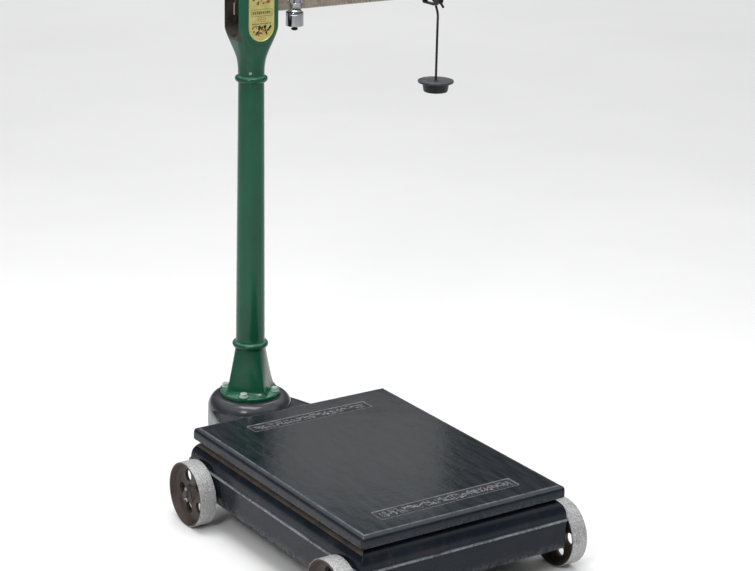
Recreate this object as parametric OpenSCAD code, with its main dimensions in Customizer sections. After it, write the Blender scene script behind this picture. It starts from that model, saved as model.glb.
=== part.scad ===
// Portable beam (steelyard) platform scale, all lengths in millimetres.
//
// The origin is the middle of the platform's top face. +Z is up, +Y points from the
// platform to the column and +X runs along the weighing beam, away from the column.
// The floor is at z = -platform_height.

/* [Platform] */
// Width of the platform, along X
platform_w = 580; // [560:10:600]
// Length of the platform, along Y
platform_l = 780; // [760:10:800]
// Height of the platform's skirt
platform_t = 30; // [24:1:32]
// How far the skirt slopes in from its foot to the top face
platform_draft = 14; // [10:1:18]
// Height of the platform's top face above the floor
platform_height = 233; // [230:1:245]
// Thickness of the platform's plate and ribs
plate_t = 7; // [6:0.5:10]

/* [Base] */
// Outer width of the base's lower wall
base_w = 590; // [584:2:596]
// Outer length of the base's lower wall, without the nose
base_l = 790; // [784:2:796]
// Depth of the base's foot below the platform's top face
base_foot = 160; // [156:1:164]
// Thickness of the base's cast wall
base_wall = 12; // [9:1:14]
// Radius of the nose that carries the column
nose_r = 113; // [108:1:118]

/* [Column] */
// Distance from the middle of the platform to the column's axis
column_y = 598; // [590:1:610]
// Radius of the column's round flange
flange_r = 79; // [78:0.5:82]
// Radius of the column just above its foot
column_r_low = 38.5; // [37:0.5:41]
// Radius of the column just below its head
column_r_high = 33.5; // [33:0.5:36]
// Height of the column's upper bead above the platform's top face
upper_bead_z = 826; // [800:1:850]

/* [Head and beam] */
// Width of the head's cheeks, along X
head_w = 123; // [114:1:130]
// Depth over both cheeks, along Y
head_d = 88; // [84:1:96]
// Height of the line through the beam's three knife edges
pivot_z = 1008; // [1000:1:1016]
// Short arm of the beam, from load edge to fulcrum edge
short_arm = 38.5; // [36:0.5:40]
// Ratio of the beam's long arm to its short arm
beam_ratio = 14; // [13.8:0.05:14.1]
// Height of the beam's bar
beam_h = 30; // [26:1:34]
// Thickness of the beam's bar
beam_t = 6; // [5:0.5:8]
// Place of the poise at zero, along X
poise_x = 128; // [124:1:134]

/* [Levers] */
// Distance from each lever's fulcrum line to the middle of the platform
fulcrum_y = 302; // [296:1:306]
// Distance from a fulcrum edge to the load edge beside it
load_arm = 126; // [122:1:130]
// Half the distance between a lever's two legs
leg_x = 205; // [195:1:210]

/* [Wheels] */
// Radius of a wheel's tread
wheel_r = 83; // [81:1:86]
// Width of a wheel's tread
tread_w = 44; // [40:1:50]
// Distance from the middle of the platform to each axle, along Y
axle_y = 328; // [326:1:340]
// Radius of the axle pins
axle_r = 9; // [8:0.5:10]

/* [Hidden] */
// Smoothness of large and of small round shapes
$fn = 96;
small_fn = 32;

// Floor, axle and base levels
floor_z = -platform_height;
axle_z = floor_z + wheel_r;
base_bottom = -base_foot;
ledge_z = -84;
base_top = -36;
base_corner_r = 6;
ledge_out = 5;
shoulder_in = 36;
lip_in = 50;

// Nose: its low top, its raised round pad and the width where it meets the base
nose_top = -57;
pad_z = -32;
pad_r = 88;
nose_root = 181;

// Column levels
flange_t = 13;
flange_top = pad_z + flange_t;
foot_top = 98;
lower_bead_z = 110;
column_bore = 27;
bolt_ring = 67;
neck_z = upper_bead_z + 9;
spigot_r = 29.5;
spigot_top = neck_z + 50;

// Head levels
neck_r = 34;
shoulder_z = 965;
slot_z = 936;
head_top = 1088;
cheek_t = 9;
slot_half = head_d / 2 - cheek_t;

// Beam: the fulcrum, power edge, ends and the guard's window
fulcrum_x = short_arm;
power_x = fulcrum_x + beam_ratio * short_arm;
beam_x0 = -51;
beam_x1 = power_x + 14;
beam_z0 = pivot_z - beam_h / 2;
guard_x = power_x - 23.5;
guard_gap = 17;
guard_strap = 4;
guard_w = 16;
guard_half_y = 28;
balance_z = pivot_z + beam_h / 2 + 23;
ball_r = 14;

// Knife bars: half width, bevel height, full height and the seat's clearance
knife_half = 4;
knife_bevel = 7;
knife_h = 12;
low_knife_h = 9;
seat_gap = 0.3;

// Levers: edge height, bar sections
edge_z = -95;
bar_w = 14;
long_z0 = -108;
bar_h = 26;
short_z0 = -140;
short_h = 24;
short_edge_z = -131;
fork_y = 160;

// Hanger: the stirrup's bar, the rod and the dish
stirrup_drop = 30;
stirrup_z = pivot_z - stirrup_drop;
rod_r = 3.2;
rod_x = power_x + 1.8;
dish_r = 49;
dish_z = 760;

// Paint and metal colours
iron_black = [0.10, 0.12, 0.14];
plate_grey = [0.27, 0.29, 0.32];
green = [0.10, 0.30, 0.22];
brass = [0.62, 0.53, 0.38];
gold = [0.78, 0.72, 0.32];
steel = [0.62, 0.63, 0.64];
chrome = [0.80, 0.81, 0.83];
black = [0.06, 0.06, 0.06];
rust = [0.22, 0.17, 0.15];

// ---------------------------------------------------------------- helpers

// Points of a quarter ellipse from angle a0 to a1 about a centre
function arc(cx, cy, rx, ry, a0, a1, n = 10) =
    [for (i = [0 : n]) let (a = a0 + (a1 - a0) * i / n) [cx + rx * cos(a), cy + ry * sin(a)]];

// Four corners of the platform or base, as signs
corners = [for (sx = [-1, 1], sy = [-1, 1]) [sx, sy]];

// Section of a knife bar h high with its edge at the origin, pointing up or down
module knife_section(up, h) {
    s = up ? 1 : -1;
    polygon([[0, 0], [knife_half, -s * knife_bevel], [knife_half, -s * h],
             [-knife_half, -s * h], [-knife_half, -s * knife_bevel]]);
}

// Knife bar along X, centred, with its edge on the X axis
module knife_x(length, up, h = knife_h) {
    rotate([90, 0, 90])
        translate([0, 0, -length / 2])
            linear_extrude(length) knife_section(up, h);
}

// Knife bar along Y, centred, with its edge on the Y axis
module knife_y(length, up, h = knife_h) {
    rotate([0, 0, 90]) knife_x(length, up, h);
}

// The notch that a knife edge seats in: a wide V along X, open below or above
module seat_x(length, up) {
    s = up ? 1 : -1;
    rotate([90, 0, 90])
        translate([0, 0, -length / 2])
            linear_extrude(length)
                polygon([[0, s * seat_gap], [11, -s * 6.2], [11, -s * 40], [-11, -s * 40],
                         [-11, -s * 6.2]]);
}

// A window in a shackle plate with a V at its top (up) or bottom, along X
module window_x(length, up) {
    s = up ? 1 : -1;
    rotate([90, 0, 90])
        translate([0, 0, -length / 2])
            linear_extrude(length)
                polygon([[0, s * seat_gap], [8, -s * 4.5], [8, -s * (knife_h + 1.5)],
                         [-8, -s * (knife_h + 1.5)], [-8, -s * 4.5]]);
}

module window_y(length, up) {
    rotate([0, 0, 90]) window_x(length, up);
}

// Straight bar in plan from p to q, z from z0 up by h
module bar(p, q, w, z0, h) {
    run = q - p;
    translate([p[0], p[1], z0])
        rotate([0, 0, atan2(run[1], run[0])])
            translate([0, -w / 2, 0]) cube([norm(run), w, h]);
}

// Round boss in plan where bars of width w meet or end
module boss(p, w, z0, h) {
    translate([p[0], p[1], z0]) cylinder(r = w / 2 + 1.5, h = h, $fn = 48);
}

// Hexagon head or nut, across flats af, standing on z = 0
module hexagon(af, h) {
    cylinder(r = af / sqrt(3), h = h, $fn = 6);
}

// Places on the four diagonals of the column's flange
module on_flange() {
    for (a = [45 : 90 : 315])
        translate([0, column_y, 0])
            rotate([0, 0, a])
                translate([bolt_ring, 0, 0]) children();
}

// Places of the four wheels, turned so that +X points outwards
module on_axles() {
    for (c = corners)
        translate([0, c[1] * axle_y, axle_z])
            rotate([0, 0, c[0] > 0 ? 0 : 180]) children();
}

// ---------------------------------------------------------------- base

// Outer and inner faces of the base's wall, from the foot up: distance outside the
// wall's flat side, and height
outer_face = concat([[0, base_bottom]],
                    arc(-shoulder_in, ledge_z, shoulder_in, base_top - ledge_z, 0, 90));
inner_face = [[-base_wall, base_bottom - 1], [-base_wall, ledge_z + 4],
              [-shoulder_in - 2, base_top - 10], [-lip_in, base_top - 9], [-lip_in, base_top + 1]];

// Solid whose four sides all follow one face, with mitred corners
module loaf(hx, hy, face) {
    intersection() {
        loaf_prism(hx, hy + 50, face);
        rotate([0, 0, 90]) loaf_prism(hy, hx + 50, face);
    }
}

// Prism along Y with the face on both of its sides
module loaf_prism(hx, reach, face) {
    rotate([90, 0, 0])
        linear_extrude(2 * reach, center = true)
            polygon(concat([for (p = face) [hx + p[0], p[1]]],
                           [for (i = [len(face) - 1 : -1 : 0]) [-hx - face[i][0], face[i][1]]]));
}

// Upright prism with rounded corners
module rounded_block(hx, hy, r, z0, h) {
    translate([0, 0, z0])
        linear_extrude(h)
            polygon(concat(arc(hx - r, hy - r, r, r, 0, 90), arc(r - hx, hy - r, r, r, 90, 180),
                           arc(r - hx, r - hy, r, r, 180, 270), arc(hx - r, r - hy, r, r, 270, 360)));
}

// Plan of the nose at a given distance inside its outer wall: a round end about the
// column, with straight flanks that run out to the base
module nose_plan(inset) {
    r = nose_r - inset;
    half = nose_root - inset;
    root_y = base_l / 2 - base_wall + 4;
    reach = [half, root_y - column_y];
    turn = atan2(reach[1], reach[0]) + acos(r / norm(reach));
    polygon(concat([[-half, root_y], [half, root_y]],
                   arc(0, column_y, r, r, turn, 180 - turn, 40)));
}

// Raised round pad under the column's flange
module pad() {
    rim = nose_r - 0.5;
    translate([0, column_y, 0])
        rotate_extrude($fn = 128)
            polygon(concat([[0, nose_top - 10], [rim, nose_top - 10]],
                           arc(pad_r, nose_top - 7, rim - pad_r, pad_z - nose_top + 7, 0, 90),
                           [[0, pad_z]]));
}

pad_t = 16;
module base_frame() {
    hx = base_w / 2;
    hy = base_l / 2;
    color(iron_black)
    difference() {
        union() {
            intersection() {
                loaf(hx, hy, outer_face);
                rounded_block(hx, hy, base_corner_r, base_bottom - 1, base_foot);
            }
            rounded_block(hx + ledge_out, hy + ledge_out, base_corner_r + ledge_out, ledge_z - 6, 6);
            translate([0, 0, base_bottom])
                linear_extrude(nose_top - base_bottom - 6) nose_plan(0);
            translate([0, 0, nose_top - 9])
                linear_extrude(9) nose_plan(5);
            pad();
            on_axles() axle_lug();
        }
        difference() {
            loaf(hx, hy, inner_face);
            on_axles() axle_lug();
            for (c = corners)
                translate([c[0] * leg_x, c[1] * fulcrum_y, 0]) base_shelf(c[0]);
        }
        translate([0, 0, base_bottom - 1])
            linear_extrude(nose_top - base_bottom - 11) nose_plan(base_wall);
        translate([0, column_y, base_bottom - 1])
            cylinder(r = 96, h = pad_z - pad_t - base_bottom + 1);
        translate([0, column_y, base_bottom - 1])
            cylinder(r = 40, h = 200);
        translate([-nose_root + 60, hy - base_wall - 2, base_bottom - 1])
            cube([2 * nose_root - 120, base_wall + 4, nose_top - base_bottom - 14]);
        on_flange()
            translate([0, 0, pad_z - pad_t - 4]) cylinder(r = 6, h = 40, $fn = small_fn);
        on_axles()
            translate([base_w / 2 - base_wall - 12, 0, 0])
                rotate([0, 90, 0]) cylinder(r = axle_r, h = 60, $fn = 64);
        for (c = corners)
            bearing_screw_places(c) cylinder(r = 3, h = 30, center = true, $fn = small_fn);
    }
}

// Boss through the base's wall that holds an axle pin
module axle_lug() {
    translate([base_w / 2 - base_wall - 10, 0, 0])
        rotate([0, 90, 0])
            cylinder(r = 19, h = base_wall + 15, $fn = 64);
}

// Shelf inside the base that carries a fulcrum bearing, tied to the side wall
shelf_z = -116;
shelf_t = 9;
module base_shelf(sx) {
    reach = base_w / 2 - base_wall + 2 - leg_x;
    translate([sx > 0 ? -22 : -reach, -20, shelf_z - shelf_t])
        cube([reach + 22, 40, shelf_t]);
    translate([sx > 0 ? 26 : -reach, -4, base_bottom + 2])
        cube([reach - 26, 8, shelf_z - base_bottom - 4]);
}

// Places of the two screws of one bearing block
module bearing_screw_places(c) {
    for (dy = [-1, 1])
        translate([c[0] * leg_x, c[1] * fulcrum_y + dy * 15, shelf_z - shelf_t / 2]) children();
}

// Steel blocks whose V seats carry the levers' fulcrum knives
module bearing_blocks() {
    color(steel)
    for (c = corners)
        difference() {
            translate([c[0] * leg_x - 19, c[1] * fulcrum_y - 20, shelf_z])
                cube([38, 40, edge_z + 5 - shelf_z]);
            translate([c[0] * leg_x - 10, c[1] * fulcrum_y - 21, shelf_z + 5])
                cube([20, 42, 40]);
            translate([c[0] * leg_x, c[1] * fulcrum_y, edge_z]) seat_x(60, false);
            bearing_screw_places(c) cylinder(r = 3, h = 60, center = true, $fn = small_fn);
        }
}

module bearing_screws() {
    color(steel)
    for (c = corners)
        bearing_screw_places(c) {
            translate([0, 0, -shelf_t / 2]) cylinder(r = 3, h = shelf_t + 5, $fn = small_fn);
            translate([0, 0, shelf_t / 2 + 5]) cylinder(r = 4.6, h = 2.5, $fn = small_fn);
        }
}

// ---------------------------------------------------------------- wheels

// Places along X, measured on the +X side
hub_in = base_w / 2 + 6;
tread_in = base_w / 2 + 7.5;
hub_l = 36;
hub_r = 20;
rim_t = 8;
web_t = 8;
axle_out = hub_in + hub_l + 12;
pin_hole_x = hub_in + hub_l + 7;

// Section of a wheel turned about its axle: hub, dished web and tapered rim
module wheel_section() {
    mid = tread_in + tread_w / 2;
    h0 = hub_in;
    h1 = hub_in + hub_l;
    w0 = mid - web_t / 2;
    w1 = mid + web_t / 2;
    polygon([[axle_r + 0.05, h0], [hub_r, h0], [hub_r + 2, w0 - 4], [hub_r + 6, w0],
             [wheel_r - rim_t - 6, w0], [wheel_r - rim_t - 2, w0 - 5],
             [wheel_r - 5, tread_in], [wheel_r - 1, tread_in], [wheel_r, tread_in + 1.5],
             [wheel_r, tread_in + tread_w - 1.5], [wheel_r - 1, tread_in + tread_w],
             [wheel_r - 5, tread_in + tread_w], [wheel_r - rim_t - 2, w1 + 5],
             [wheel_r - rim_t - 6, w1], [hub_r + 6, w1], [hub_r + 2, w1 + 4], [hub_r, h1],
             [axle_r + 0.05, h1]]);
}

// One cast wheel at the corner given by its signs
module wheel(sx, sy) {
    color(rust)
    translate([0, sy * axle_y, axle_z])
        rotate([0, 0, sx > 0 ? 0 : 180])
            rotate([0, 90, 0])
                difference() {
                    rotate_extrude($fn = 128) wheel_section();
                    for (i = [0 : 4])
                        rotate([0, 0, 180 + 20 + i * 72])
                            translate([46, 0, tread_in])
                                cylinder(r = 15, h = tread_w, $fn = 48);
                }
}

module wheel_front_left() { wheel(-1, -1); }
module wheel_front_right() { wheel(1, -1); }
module wheel_rear_left() { wheel(-1, 1); }
module wheel_rear_right() { wheel(1, 1); }

module axle_pins() {
    color(steel)
    on_axles()
        difference() {
            translate([base_w / 2 - base_wall - 12, 0, 0])
                rotate([0, 90, 0]) cylinder(r = axle_r, h = axle_out - base_w / 2 + base_wall + 12,
                                            $fn = 64);
            translate([pin_hole_x, 0, 0]) cylinder(r = 2, h = 40, center = true, $fn = small_fn);
        }
}

module axle_washers() {
    color(steel)
    on_axles()
        translate([hub_in + hub_l + 1, 0, 0])
            rotate([0, 90, 0])
                difference() {
                    cylinder(r = 17, h = 2.5, $fn = 64);
                    translate([0, 0, -1]) cylinder(r = axle_r, h = 5, $fn = 64);
                }
}

// Split pins: a round shank through the axle, an eye above and two bent legs below
module split_pins() {
    color(steel)
    on_axles()
        translate([pin_hole_x, 0, 0]) {
            translate([0, 0, -axle_r - 3]) cylinder(r = 2, h = 2 * axle_r + 6, $fn = small_fn);
            translate([0, 0, axle_r + 5.5])
                rotate([0, 90, 0])
                    rotate_extrude($fn = 32) translate([3.2, 0]) circle(r = 1.4, $fn = 16);
            for (s = [-1, 1])
                translate([0, 0, -axle_r - 2.6])
                    rotate([s * 125, 0, 0]) cylinder(r = 1.3, h = 10, $fn = 16);
        }
}

// ---------------------------------------------------------------- column

// Round body of the column: flange, taper, two beads and the spigot for the head
module column_body() {
    translate([0, column_y, 0])
        rotate_extrude($fn = 96)
            polygon(concat(
                [[column_bore, pad_z], [flange_r, pad_z], [flange_r, flange_top - 3]],
                arc(flange_r - 3, flange_top - 3, 3, 3, 0, 90, 4),
                [[column_r_low, flange_top], [column_r_low, foot_top],
                 [column_r_low + 2, lower_bead_z - 8]],
                arc(column_r_low + 2, lower_bead_z, 7, 8, -90, 90),
                [[column_r_low, lower_bead_z + 12], [column_r_high, upper_bead_z - 12],
                 [column_r_high + 1, upper_bead_z - 8]],
                arc(column_r_high + 1, upper_bead_z, 7.5, 8, -90, 90),
                [[neck_r, neck_z], [spigot_r, neck_z], [spigot_r, spigot_top],
                 [column_bore, spigot_top]]
            ));
}

// Four-sided foot whose edges point along X and Y and run out to the flange
module column_foot() {
    translate([0, column_y, 0])
        intersection() {
            translate([0, 0, flange_top - 4])
                cylinder(r1 = 79, r2 = 52, h = foot_top + 4 - flange_top, $fn = 4);
            translate([0, 0, flange_top - 4])
                cylinder(r1 = 75, r2 = 47.5, h = foot_top + 4 - flange_top);
        }
}

module column() {
    color(green)
    difference() {
        union() {
            column_body();
            column_foot();
        }
        translate([0, column_y, pad_z - 1]) cylinder(r = column_bore, h = 200);
        on_flange()
            translate([0, 0, pad_z - 1]) cylinder(r = 6, h = 20, $fn = small_fn);
    }
}

washer_t = 2.5;
module column_washers() {
    color(steel)
    on_flange()
        translate([0, 0, flange_top])
            difference() {
                cylinder(r = 11.5, h = washer_t, $fn = 48);
                translate([0, 0, -1]) cylinder(r = 6, h = 6, $fn = small_fn);
            }
}

module column_bolts() {
    color(steel)
    on_flange() {
        translate([0, 0, pad_z - pad_t - 3])
            cylinder(r = 6, h = flange_top + washer_t - pad_z + pad_t + 3, $fn = small_fn);
        translate([0, 0, flange_top + washer_t]) hexagon(18, 8);
    }
}

// ---------------------------------------------------------------- head

// Rounded rectangle plate, thin, as one step of the head's flare
module head_slice(w, d, r, z) {
    translate([0, column_y, z])
        for (sx = [-1, 1], sy = [-1, 1])
            translate([sx * (w / 2 - r), sy * (d / 2 - r), 0])
                cylinder(r = r, h = 0.5, $fn = small_fn);
}

// Flare from the round neck to the rectangular fork: width, depth, corner radius, height
flare = [[2 * neck_r, 2 * neck_r, neck_r - 0.1, 862], [76, 72, 30, 892], [94, 79, 25, 921],
         [113, 85, 20, 944], [head_w, head_d, 16, shoulder_z]];

module head_flare() {
    for (i = [0 : len(flare) - 2])
        hull() {
            head_slice(flare[i][0], flare[i][1], flare[i][2], flare[i][3]);
            head_slice(flare[i + 1][0], flare[i + 1][1], flare[i + 1][2], flare[i + 1][3]);
        }
}

// Outline of the fork's cheeks seen along Y, with rounded shoulders on top
module cheek_outline() {
    polygon(concat(
        [[-head_w / 2, shoulder_z], [head_w / 2, shoulder_z]],
        arc(head_w / 2 - 30, head_top - 30, 30, 30, 0, 90),
        arc(-head_w / 2 + 30, head_top - 30, 30, 30, 90, 180)
    ));
}

// Plan of the fork: the rounded rectangle that its cheeks are cut from
module fork_plan() {
    r = 16;
    for (sx = [-1, 1], sy = [-1, 1])
        translate([sx * (head_w / 2 - r), sy * (head_d / 2 - r)]) circle(r = r, $fn = 48);
    square([head_w - 2 * r, head_d], center = true);
    square([head_w, head_d - 2 * r], center = true);
}

module head() {
    color(green)
    difference() {
        union() {
            translate([0, column_y, neck_z]) cylinder(r = neck_r, h = 28);
            head_flare();
            intersection() {
                translate([0, column_y, shoulder_z])
                    linear_extrude(head_top - shoulder_z) fork_plan();
                translate([0, column_y + head_d / 2, 0])
                    rotate([90, 0, 0]) linear_extrude(head_d) cheek_outline();
            }
        }
        translate([0, column_y, neck_z - 1]) cylinder(r = column_bore, h = slot_z - neck_z + 20);
        translate([0, column_y, neck_z - 1]) cylinder(r = spigot_r, h = spigot_top - neck_z + 1);
        translate([-head_w, column_y - slot_half, shoulder_z - 8])
            cube([2 * head_w, 2 * slot_half, head_top]);
        translate([-head_w, column_y, 0])
            rotate([90, 0, 90])
                linear_extrude(2 * head_w)
                    polygon([[-slot_half, shoulder_z - 7], [-20, slot_z], [20, slot_z],
                             [slot_half, shoulder_z - 7]]);
        translate([fulcrum_x - 14, column_y - slot_half - 3, pivot_z - 30])
            cube([28, 2 * slot_half + 6, 34]);
        set_screw_place() cylinder(r = 3.5, h = 30, $fn = small_fn);
        guard_screw_places() cylinder(r = 4, h = 30, center = true, $fn = small_fn);
    }
}

// The set screw points at the column's spigot from the front left
set_screw_z = 845;
module set_screw_place() {
    translate([0, column_y, set_screw_z])
        rotate([0, 0, 236])
            rotate([0, 90, 0])
                translate([0, 0, spigot_r]) children();
}

module head_set_screw() {
    color(steel)
    set_screw_place()
        difference() {
            cylinder(r = 3.5, h = 6.5, $fn = small_fn);
            translate([-5, -0.6, 5.3]) cube([10, 1.2, 2]);
        }
}

// Blank plate with round ends and a raised rim on the front cheek
plate_w = 74;
plate_z0 = 928;
plate_z1 = 1074;
module plate_outline(inset) {
    r = plate_w / 2 - inset;
    translate([0, plate_z0 + plate_w / 2]) circle(r = r, $fn = 64);
    translate([0, plate_z1 - plate_w / 2]) circle(r = r, $fn = 64);
    translate([-r, plate_z0 + plate_w / 2]) square([2 * r, plate_z1 - plate_z0 - plate_w]);
}

module name_plate() {
    face_y = column_y - head_d / 2;
    color(gold)
    difference() {
        translate([3, face_y, 0]) rotate([90, 0, 0]) linear_extrude(1.6) plate_outline(0);
        translate([3, face_y - 0.9, 0]) rotate([90, 0, 0]) linear_extrude(2) plate_outline(2.5);
    }
}

// V bearings let into the cheeks, which carry the beam's fulcrum knife
module fulcrum_bearings() {
    color(steel)
    for (s = [-1, 1])
        difference() {
            translate([fulcrum_x - 14, column_y + s * (slot_half - 5) - 8, pivot_z - 30])
                cube([28, 16, 34]);
            translate([fulcrum_x, column_y, pivot_z]) rotate([0, 0, 90]) seat_x(100, false);
        }
}

// ---------------------------------------------------------------- guard

arm_y = column_y + head_d / 2;
arm_t = 6;
arm_h = 24;
arm_z0 = pivot_z - 8;

// Flat arm along the back of the beam, cranked in to the guard loop
module guard_arm() {
    loop_y = column_y + guard_half_y;
    color(green)
    difference() {
        union() {
            translate([-25, arm_y, arm_z0]) cube([120, arm_t, arm_h]);
            translate([0, 0, arm_z0])
                linear_extrude(arm_h)
                    polygon([[90, arm_y], [90, arm_y + arm_t], [95, arm_y + arm_t],
                             [130, loop_y + arm_t], [guard_x + guard_w / 2, loop_y + arm_t],
                             [guard_x + guard_w / 2, loop_y], [128, loop_y], [93, arm_y]]);
        }
        guard_screw_places() cylinder(r = 4, h = 30, center = true, $fn = small_fn);
        guard_rivet_place() cylinder(r = 3, h = 40, center = true, $fn = small_fn);
    }
}

module guard_screw_places() {
    for (x = [-12, 12])
        translate([x, arm_y, arm_z0 + arm_h / 2]) rotate([90, 0, 0]) children();
}

module guard_rivet_place() {
    translate([guard_x, column_y + guard_half_y, arm_z0 + arm_h / 2]) rotate([90, 0, 0]) children();
}

// Rectangular loop round the beam, which stops its swing
module guard_loop() {
    z0 = beam_z0 - guard_gap - guard_strap;
    z1 = beam_z0 + beam_h + guard_gap + guard_strap;
    color(black)
    difference() {
        translate([guard_x - guard_w / 2, column_y - guard_half_y, z0])
            cube([guard_w, 2 * guard_half_y, z1 - z0]);
        translate([guard_x - guard_w, column_y - guard_half_y + guard_strap, z0 + guard_strap])
            cube([2 * guard_w, 2 * (guard_half_y - guard_strap), z1 - z0 - 2 * guard_strap]);
        guard_rivet_place() cylinder(r = 3, h = 40, center = true, $fn = small_fn);
    }
}

// Two screws hold the arm to the rear cheek and one holds the loop to the arm
module guard_screws() {
    color(steel) {
        guard_screw_places() {
            translate([0, 0, -arm_t]) cylinder(r = 4, h = arm_t + cheek_t, $fn = small_fn);
            translate([0, 0, -arm_t - 5]) hexagon(13, 5);
        }
        guard_rivet_place() {
            translate([0, 0, -arm_t]) cylinder(r = 3, h = arm_t + guard_strap, $fn = small_fn);
            translate([0, 0, -arm_t - 3]) cylinder(r = 5.5, h = 3, $fn = small_fn);
        }
    }
}

// ---------------------------------------------------------------- platform

// Face of the platform's skirt from its foot up, and of the pocket inside it: distance
// outside the skirt's flat side, and height
rim_face = concat([[-1, -platform_t], [0, -platform_t + 1], [0, -platform_t + 4]],
                  arc(-platform_draft, -8, platform_draft - 3, 8, 10, 90));
pocket_face = [[-plate_t, -platform_t - 1], [-plate_t, -platform_t + 6],
               [-platform_draft - 3, -plate_t]];
platform_corner_r = 8;

panel_depth = 1.5;
panels = [[4, 301, 350, 42], [0, -306, 392, 44]];

// Ribs under the plate
rib_h = 17;
module platform_ribs() {
    inner_w = platform_w - 10;
    inner_l = platform_l - 10;
    for (x = [-leg_x, 0, leg_x])
        translate([x - plate_t / 2, -inner_l / 2, -plate_t - rib_h + 1])
            cube([plate_t, inner_l, rib_h]);
    for (y = [-fulcrum_y + load_arm, 0, fulcrum_y - load_arm])
        translate([-inner_w / 2, y - plate_t / 2, -plate_t - rib_h + 1])
            cube([inner_w, plate_t, rib_h]);
}

// Foot above each load knife, ending in a flat for the bearing shoe
foot_bottom = -70;
load_y = fulcrum_y - load_arm;
module platform_feet() {
    for (c = corners)
        translate([c[0] * leg_x - 16, c[1] * load_y - 14, foot_bottom])
            cube([32, 28, -foot_bottom - plate_t + 1]);
}

// Tongue of a bearing shoe, let up into its foot
tongue_w = 10;
tongue_h = 16;
module shoe_tongues() {
    for (c = corners)
        translate([c[0] * leg_x - tongue_w / 2, c[1] * load_y - 14, foot_bottom - 1])
            cube([tongue_w, 28, tongue_h + 1]);
}

module platform() {
    hx = platform_w / 2;
    hy = platform_l / 2;
    color(plate_grey)
    difference() {
        union() {
            difference() {
                intersection() {
                    loaf(hx, hy, rim_face);
                    rounded_block(hx, hy, platform_corner_r, -platform_t - 1, platform_t + 2);
                }
                loaf(hx, hy, pocket_face);
            }
            platform_ribs();
            platform_feet();
        }
        for (p = panels)
            translate([p[0] - p[2] / 2, p[1] - p[3] / 2, -panel_depth])
                cube([p[2], p[3], 5]);
        shoe_tongues();
        shoe_pins(60);
    }
}

// Pins that keep the bearing shoes in their feet
module shoe_pins(length) {
    for (c = corners)
        translate([c[0] * leg_x, c[1] * load_y, foot_bottom + 8])
            rotate([0, 90, 0]) cylinder(r = 3, h = length, center = true, $fn = small_fn);
}

// Steel shoes with a V above each load knife and a tongue in the foot's slot
module platform_bearings() {
    color(steel)
    difference() {
        union() {
            for (c = corners)
                translate([c[0] * leg_x - 19, c[1] * load_y - 14, edge_z - 5])
                    cube([38, 28, foot_bottom - edge_z + 5]);
            shoe_tongues();
        }
        for (c = corners)
            translate([c[0] * leg_x, c[1] * load_y, edge_z]) {
                translate([-10, -15, -6]) cube([20, 30, foot_bottom - edge_z]);
                seat_x(60, true);
            }
        shoe_pins(60);
    }
}

module bearing_shoe_pins() {
    color(steel) shoe_pins(36);
}

// ---------------------------------------------------------------- levers

// Fulcrum and load knives of a lever, on the side of the platform given by sy
module leg_knives(sy, is_load) {
    y = sy * (is_load ? load_y : fulcrum_y);
    for (sx = [-1, 1])
        translate([sx * leg_x, y, edge_z]) knife_x(36, is_load);
}

module long_fulcrum_knives() { color(steel) leg_knives(-1, false); }
module long_load_knives() { color(steel) leg_knives(-1, true); }
module short_fulcrum_knives() { color(steel) leg_knives(1, false); }
module short_load_knives() { color(steel) leg_knives(1, true); }

module long_link_knife() {
    color(steel) translate([0, 0, edge_z]) knife_x(34, true);
}

module long_power_knife() {
    color(steel) translate([0, column_y, edge_z]) knife_x(34, false);
}

module short_power_knife() {
    color(steel) translate([0, 0, short_edge_z]) knife_x(34, false);
}

// Long lever: two legs from the front corners, joined into a bar under the column
module long_lever() {
    fork = [0, -18];
    tip = [0, column_y + 10];
    color(rust)
    difference() {
        union() {
            for (sx = [-1, 1]) {
                heel = [sx * leg_x, -fulcrum_y - 10];
                knee = [sx * leg_x, -fork_y];
                bar(heel, knee, bar_w, long_z0, bar_h);
                bar(knee, fork, bar_w, long_z0, bar_h);
                boss(heel, bar_w, long_z0, bar_h);
                boss(knee, bar_w, long_z0, bar_h);
            }
            boss(fork, bar_w, long_z0, bar_h);
            bar(fork, tip, bar_w, long_z0, bar_h);
            boss(tip, bar_w, long_z0, bar_h);
            bar([-110, -94], [110, -94], 10, long_z0 + 4, bar_h - 8);
        }
        leg_knives(-1, false);
        leg_knives(-1, true);
        translate([0, 0, edge_z]) knife_x(40, true);
        translate([0, column_y, edge_z]) knife_x(40, false);
    }
}

// Short lever: two legs from the rear corners, low enough to pass under the long lever
module short_lever() {
    fork = [0, 22];
    tip = [0, -10];
    color(rust)
    difference() {
        union() {
            for (sx = [-1, 1]) {
                heel = [sx * leg_x, fulcrum_y + 10];
                knee = [sx * leg_x, fork_y];
                bar(heel, knee, bar_w, long_z0, bar_h);
                boss(heel, bar_w, long_z0, bar_h);
                boss(knee, bar_w, short_z0, long_z0 + bar_h - short_z0);
                bar(knee, fork, bar_w, short_z0, short_h);
            }
            boss(fork, bar_w - 2, short_z0, short_h);
            bar(fork, tip, bar_w, short_z0, short_h);
        }
        leg_knives(1, false);
        leg_knives(1, true);
        translate([0, 0, short_edge_z]) knife_x(40, false);
    }
}

// Shackle that hangs the short lever's tip from the middle of the long lever
link_x = 9.5;
link_t = 5;
module lever_link() {
    color(steel) {
        for (s = [-1, 1])
            difference() {
                translate([s > 0 ? link_x : -link_x - link_t, -12, -149]) cube([link_t, 24, 79]);
                translate([0, 0, edge_z]) window_x(60, true);
                translate([0, 0, short_edge_z]) window_x(60, false);
            }
        for (z = [-75, -145])
            translate([0, 0, z])
                rotate([0, 90, 0]) cylinder(r = 4, h = 2 * link_x + 2, center = true, $fn = small_fn);
    }
}

// ---------------------------------------------------------------- pull rod

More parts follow.
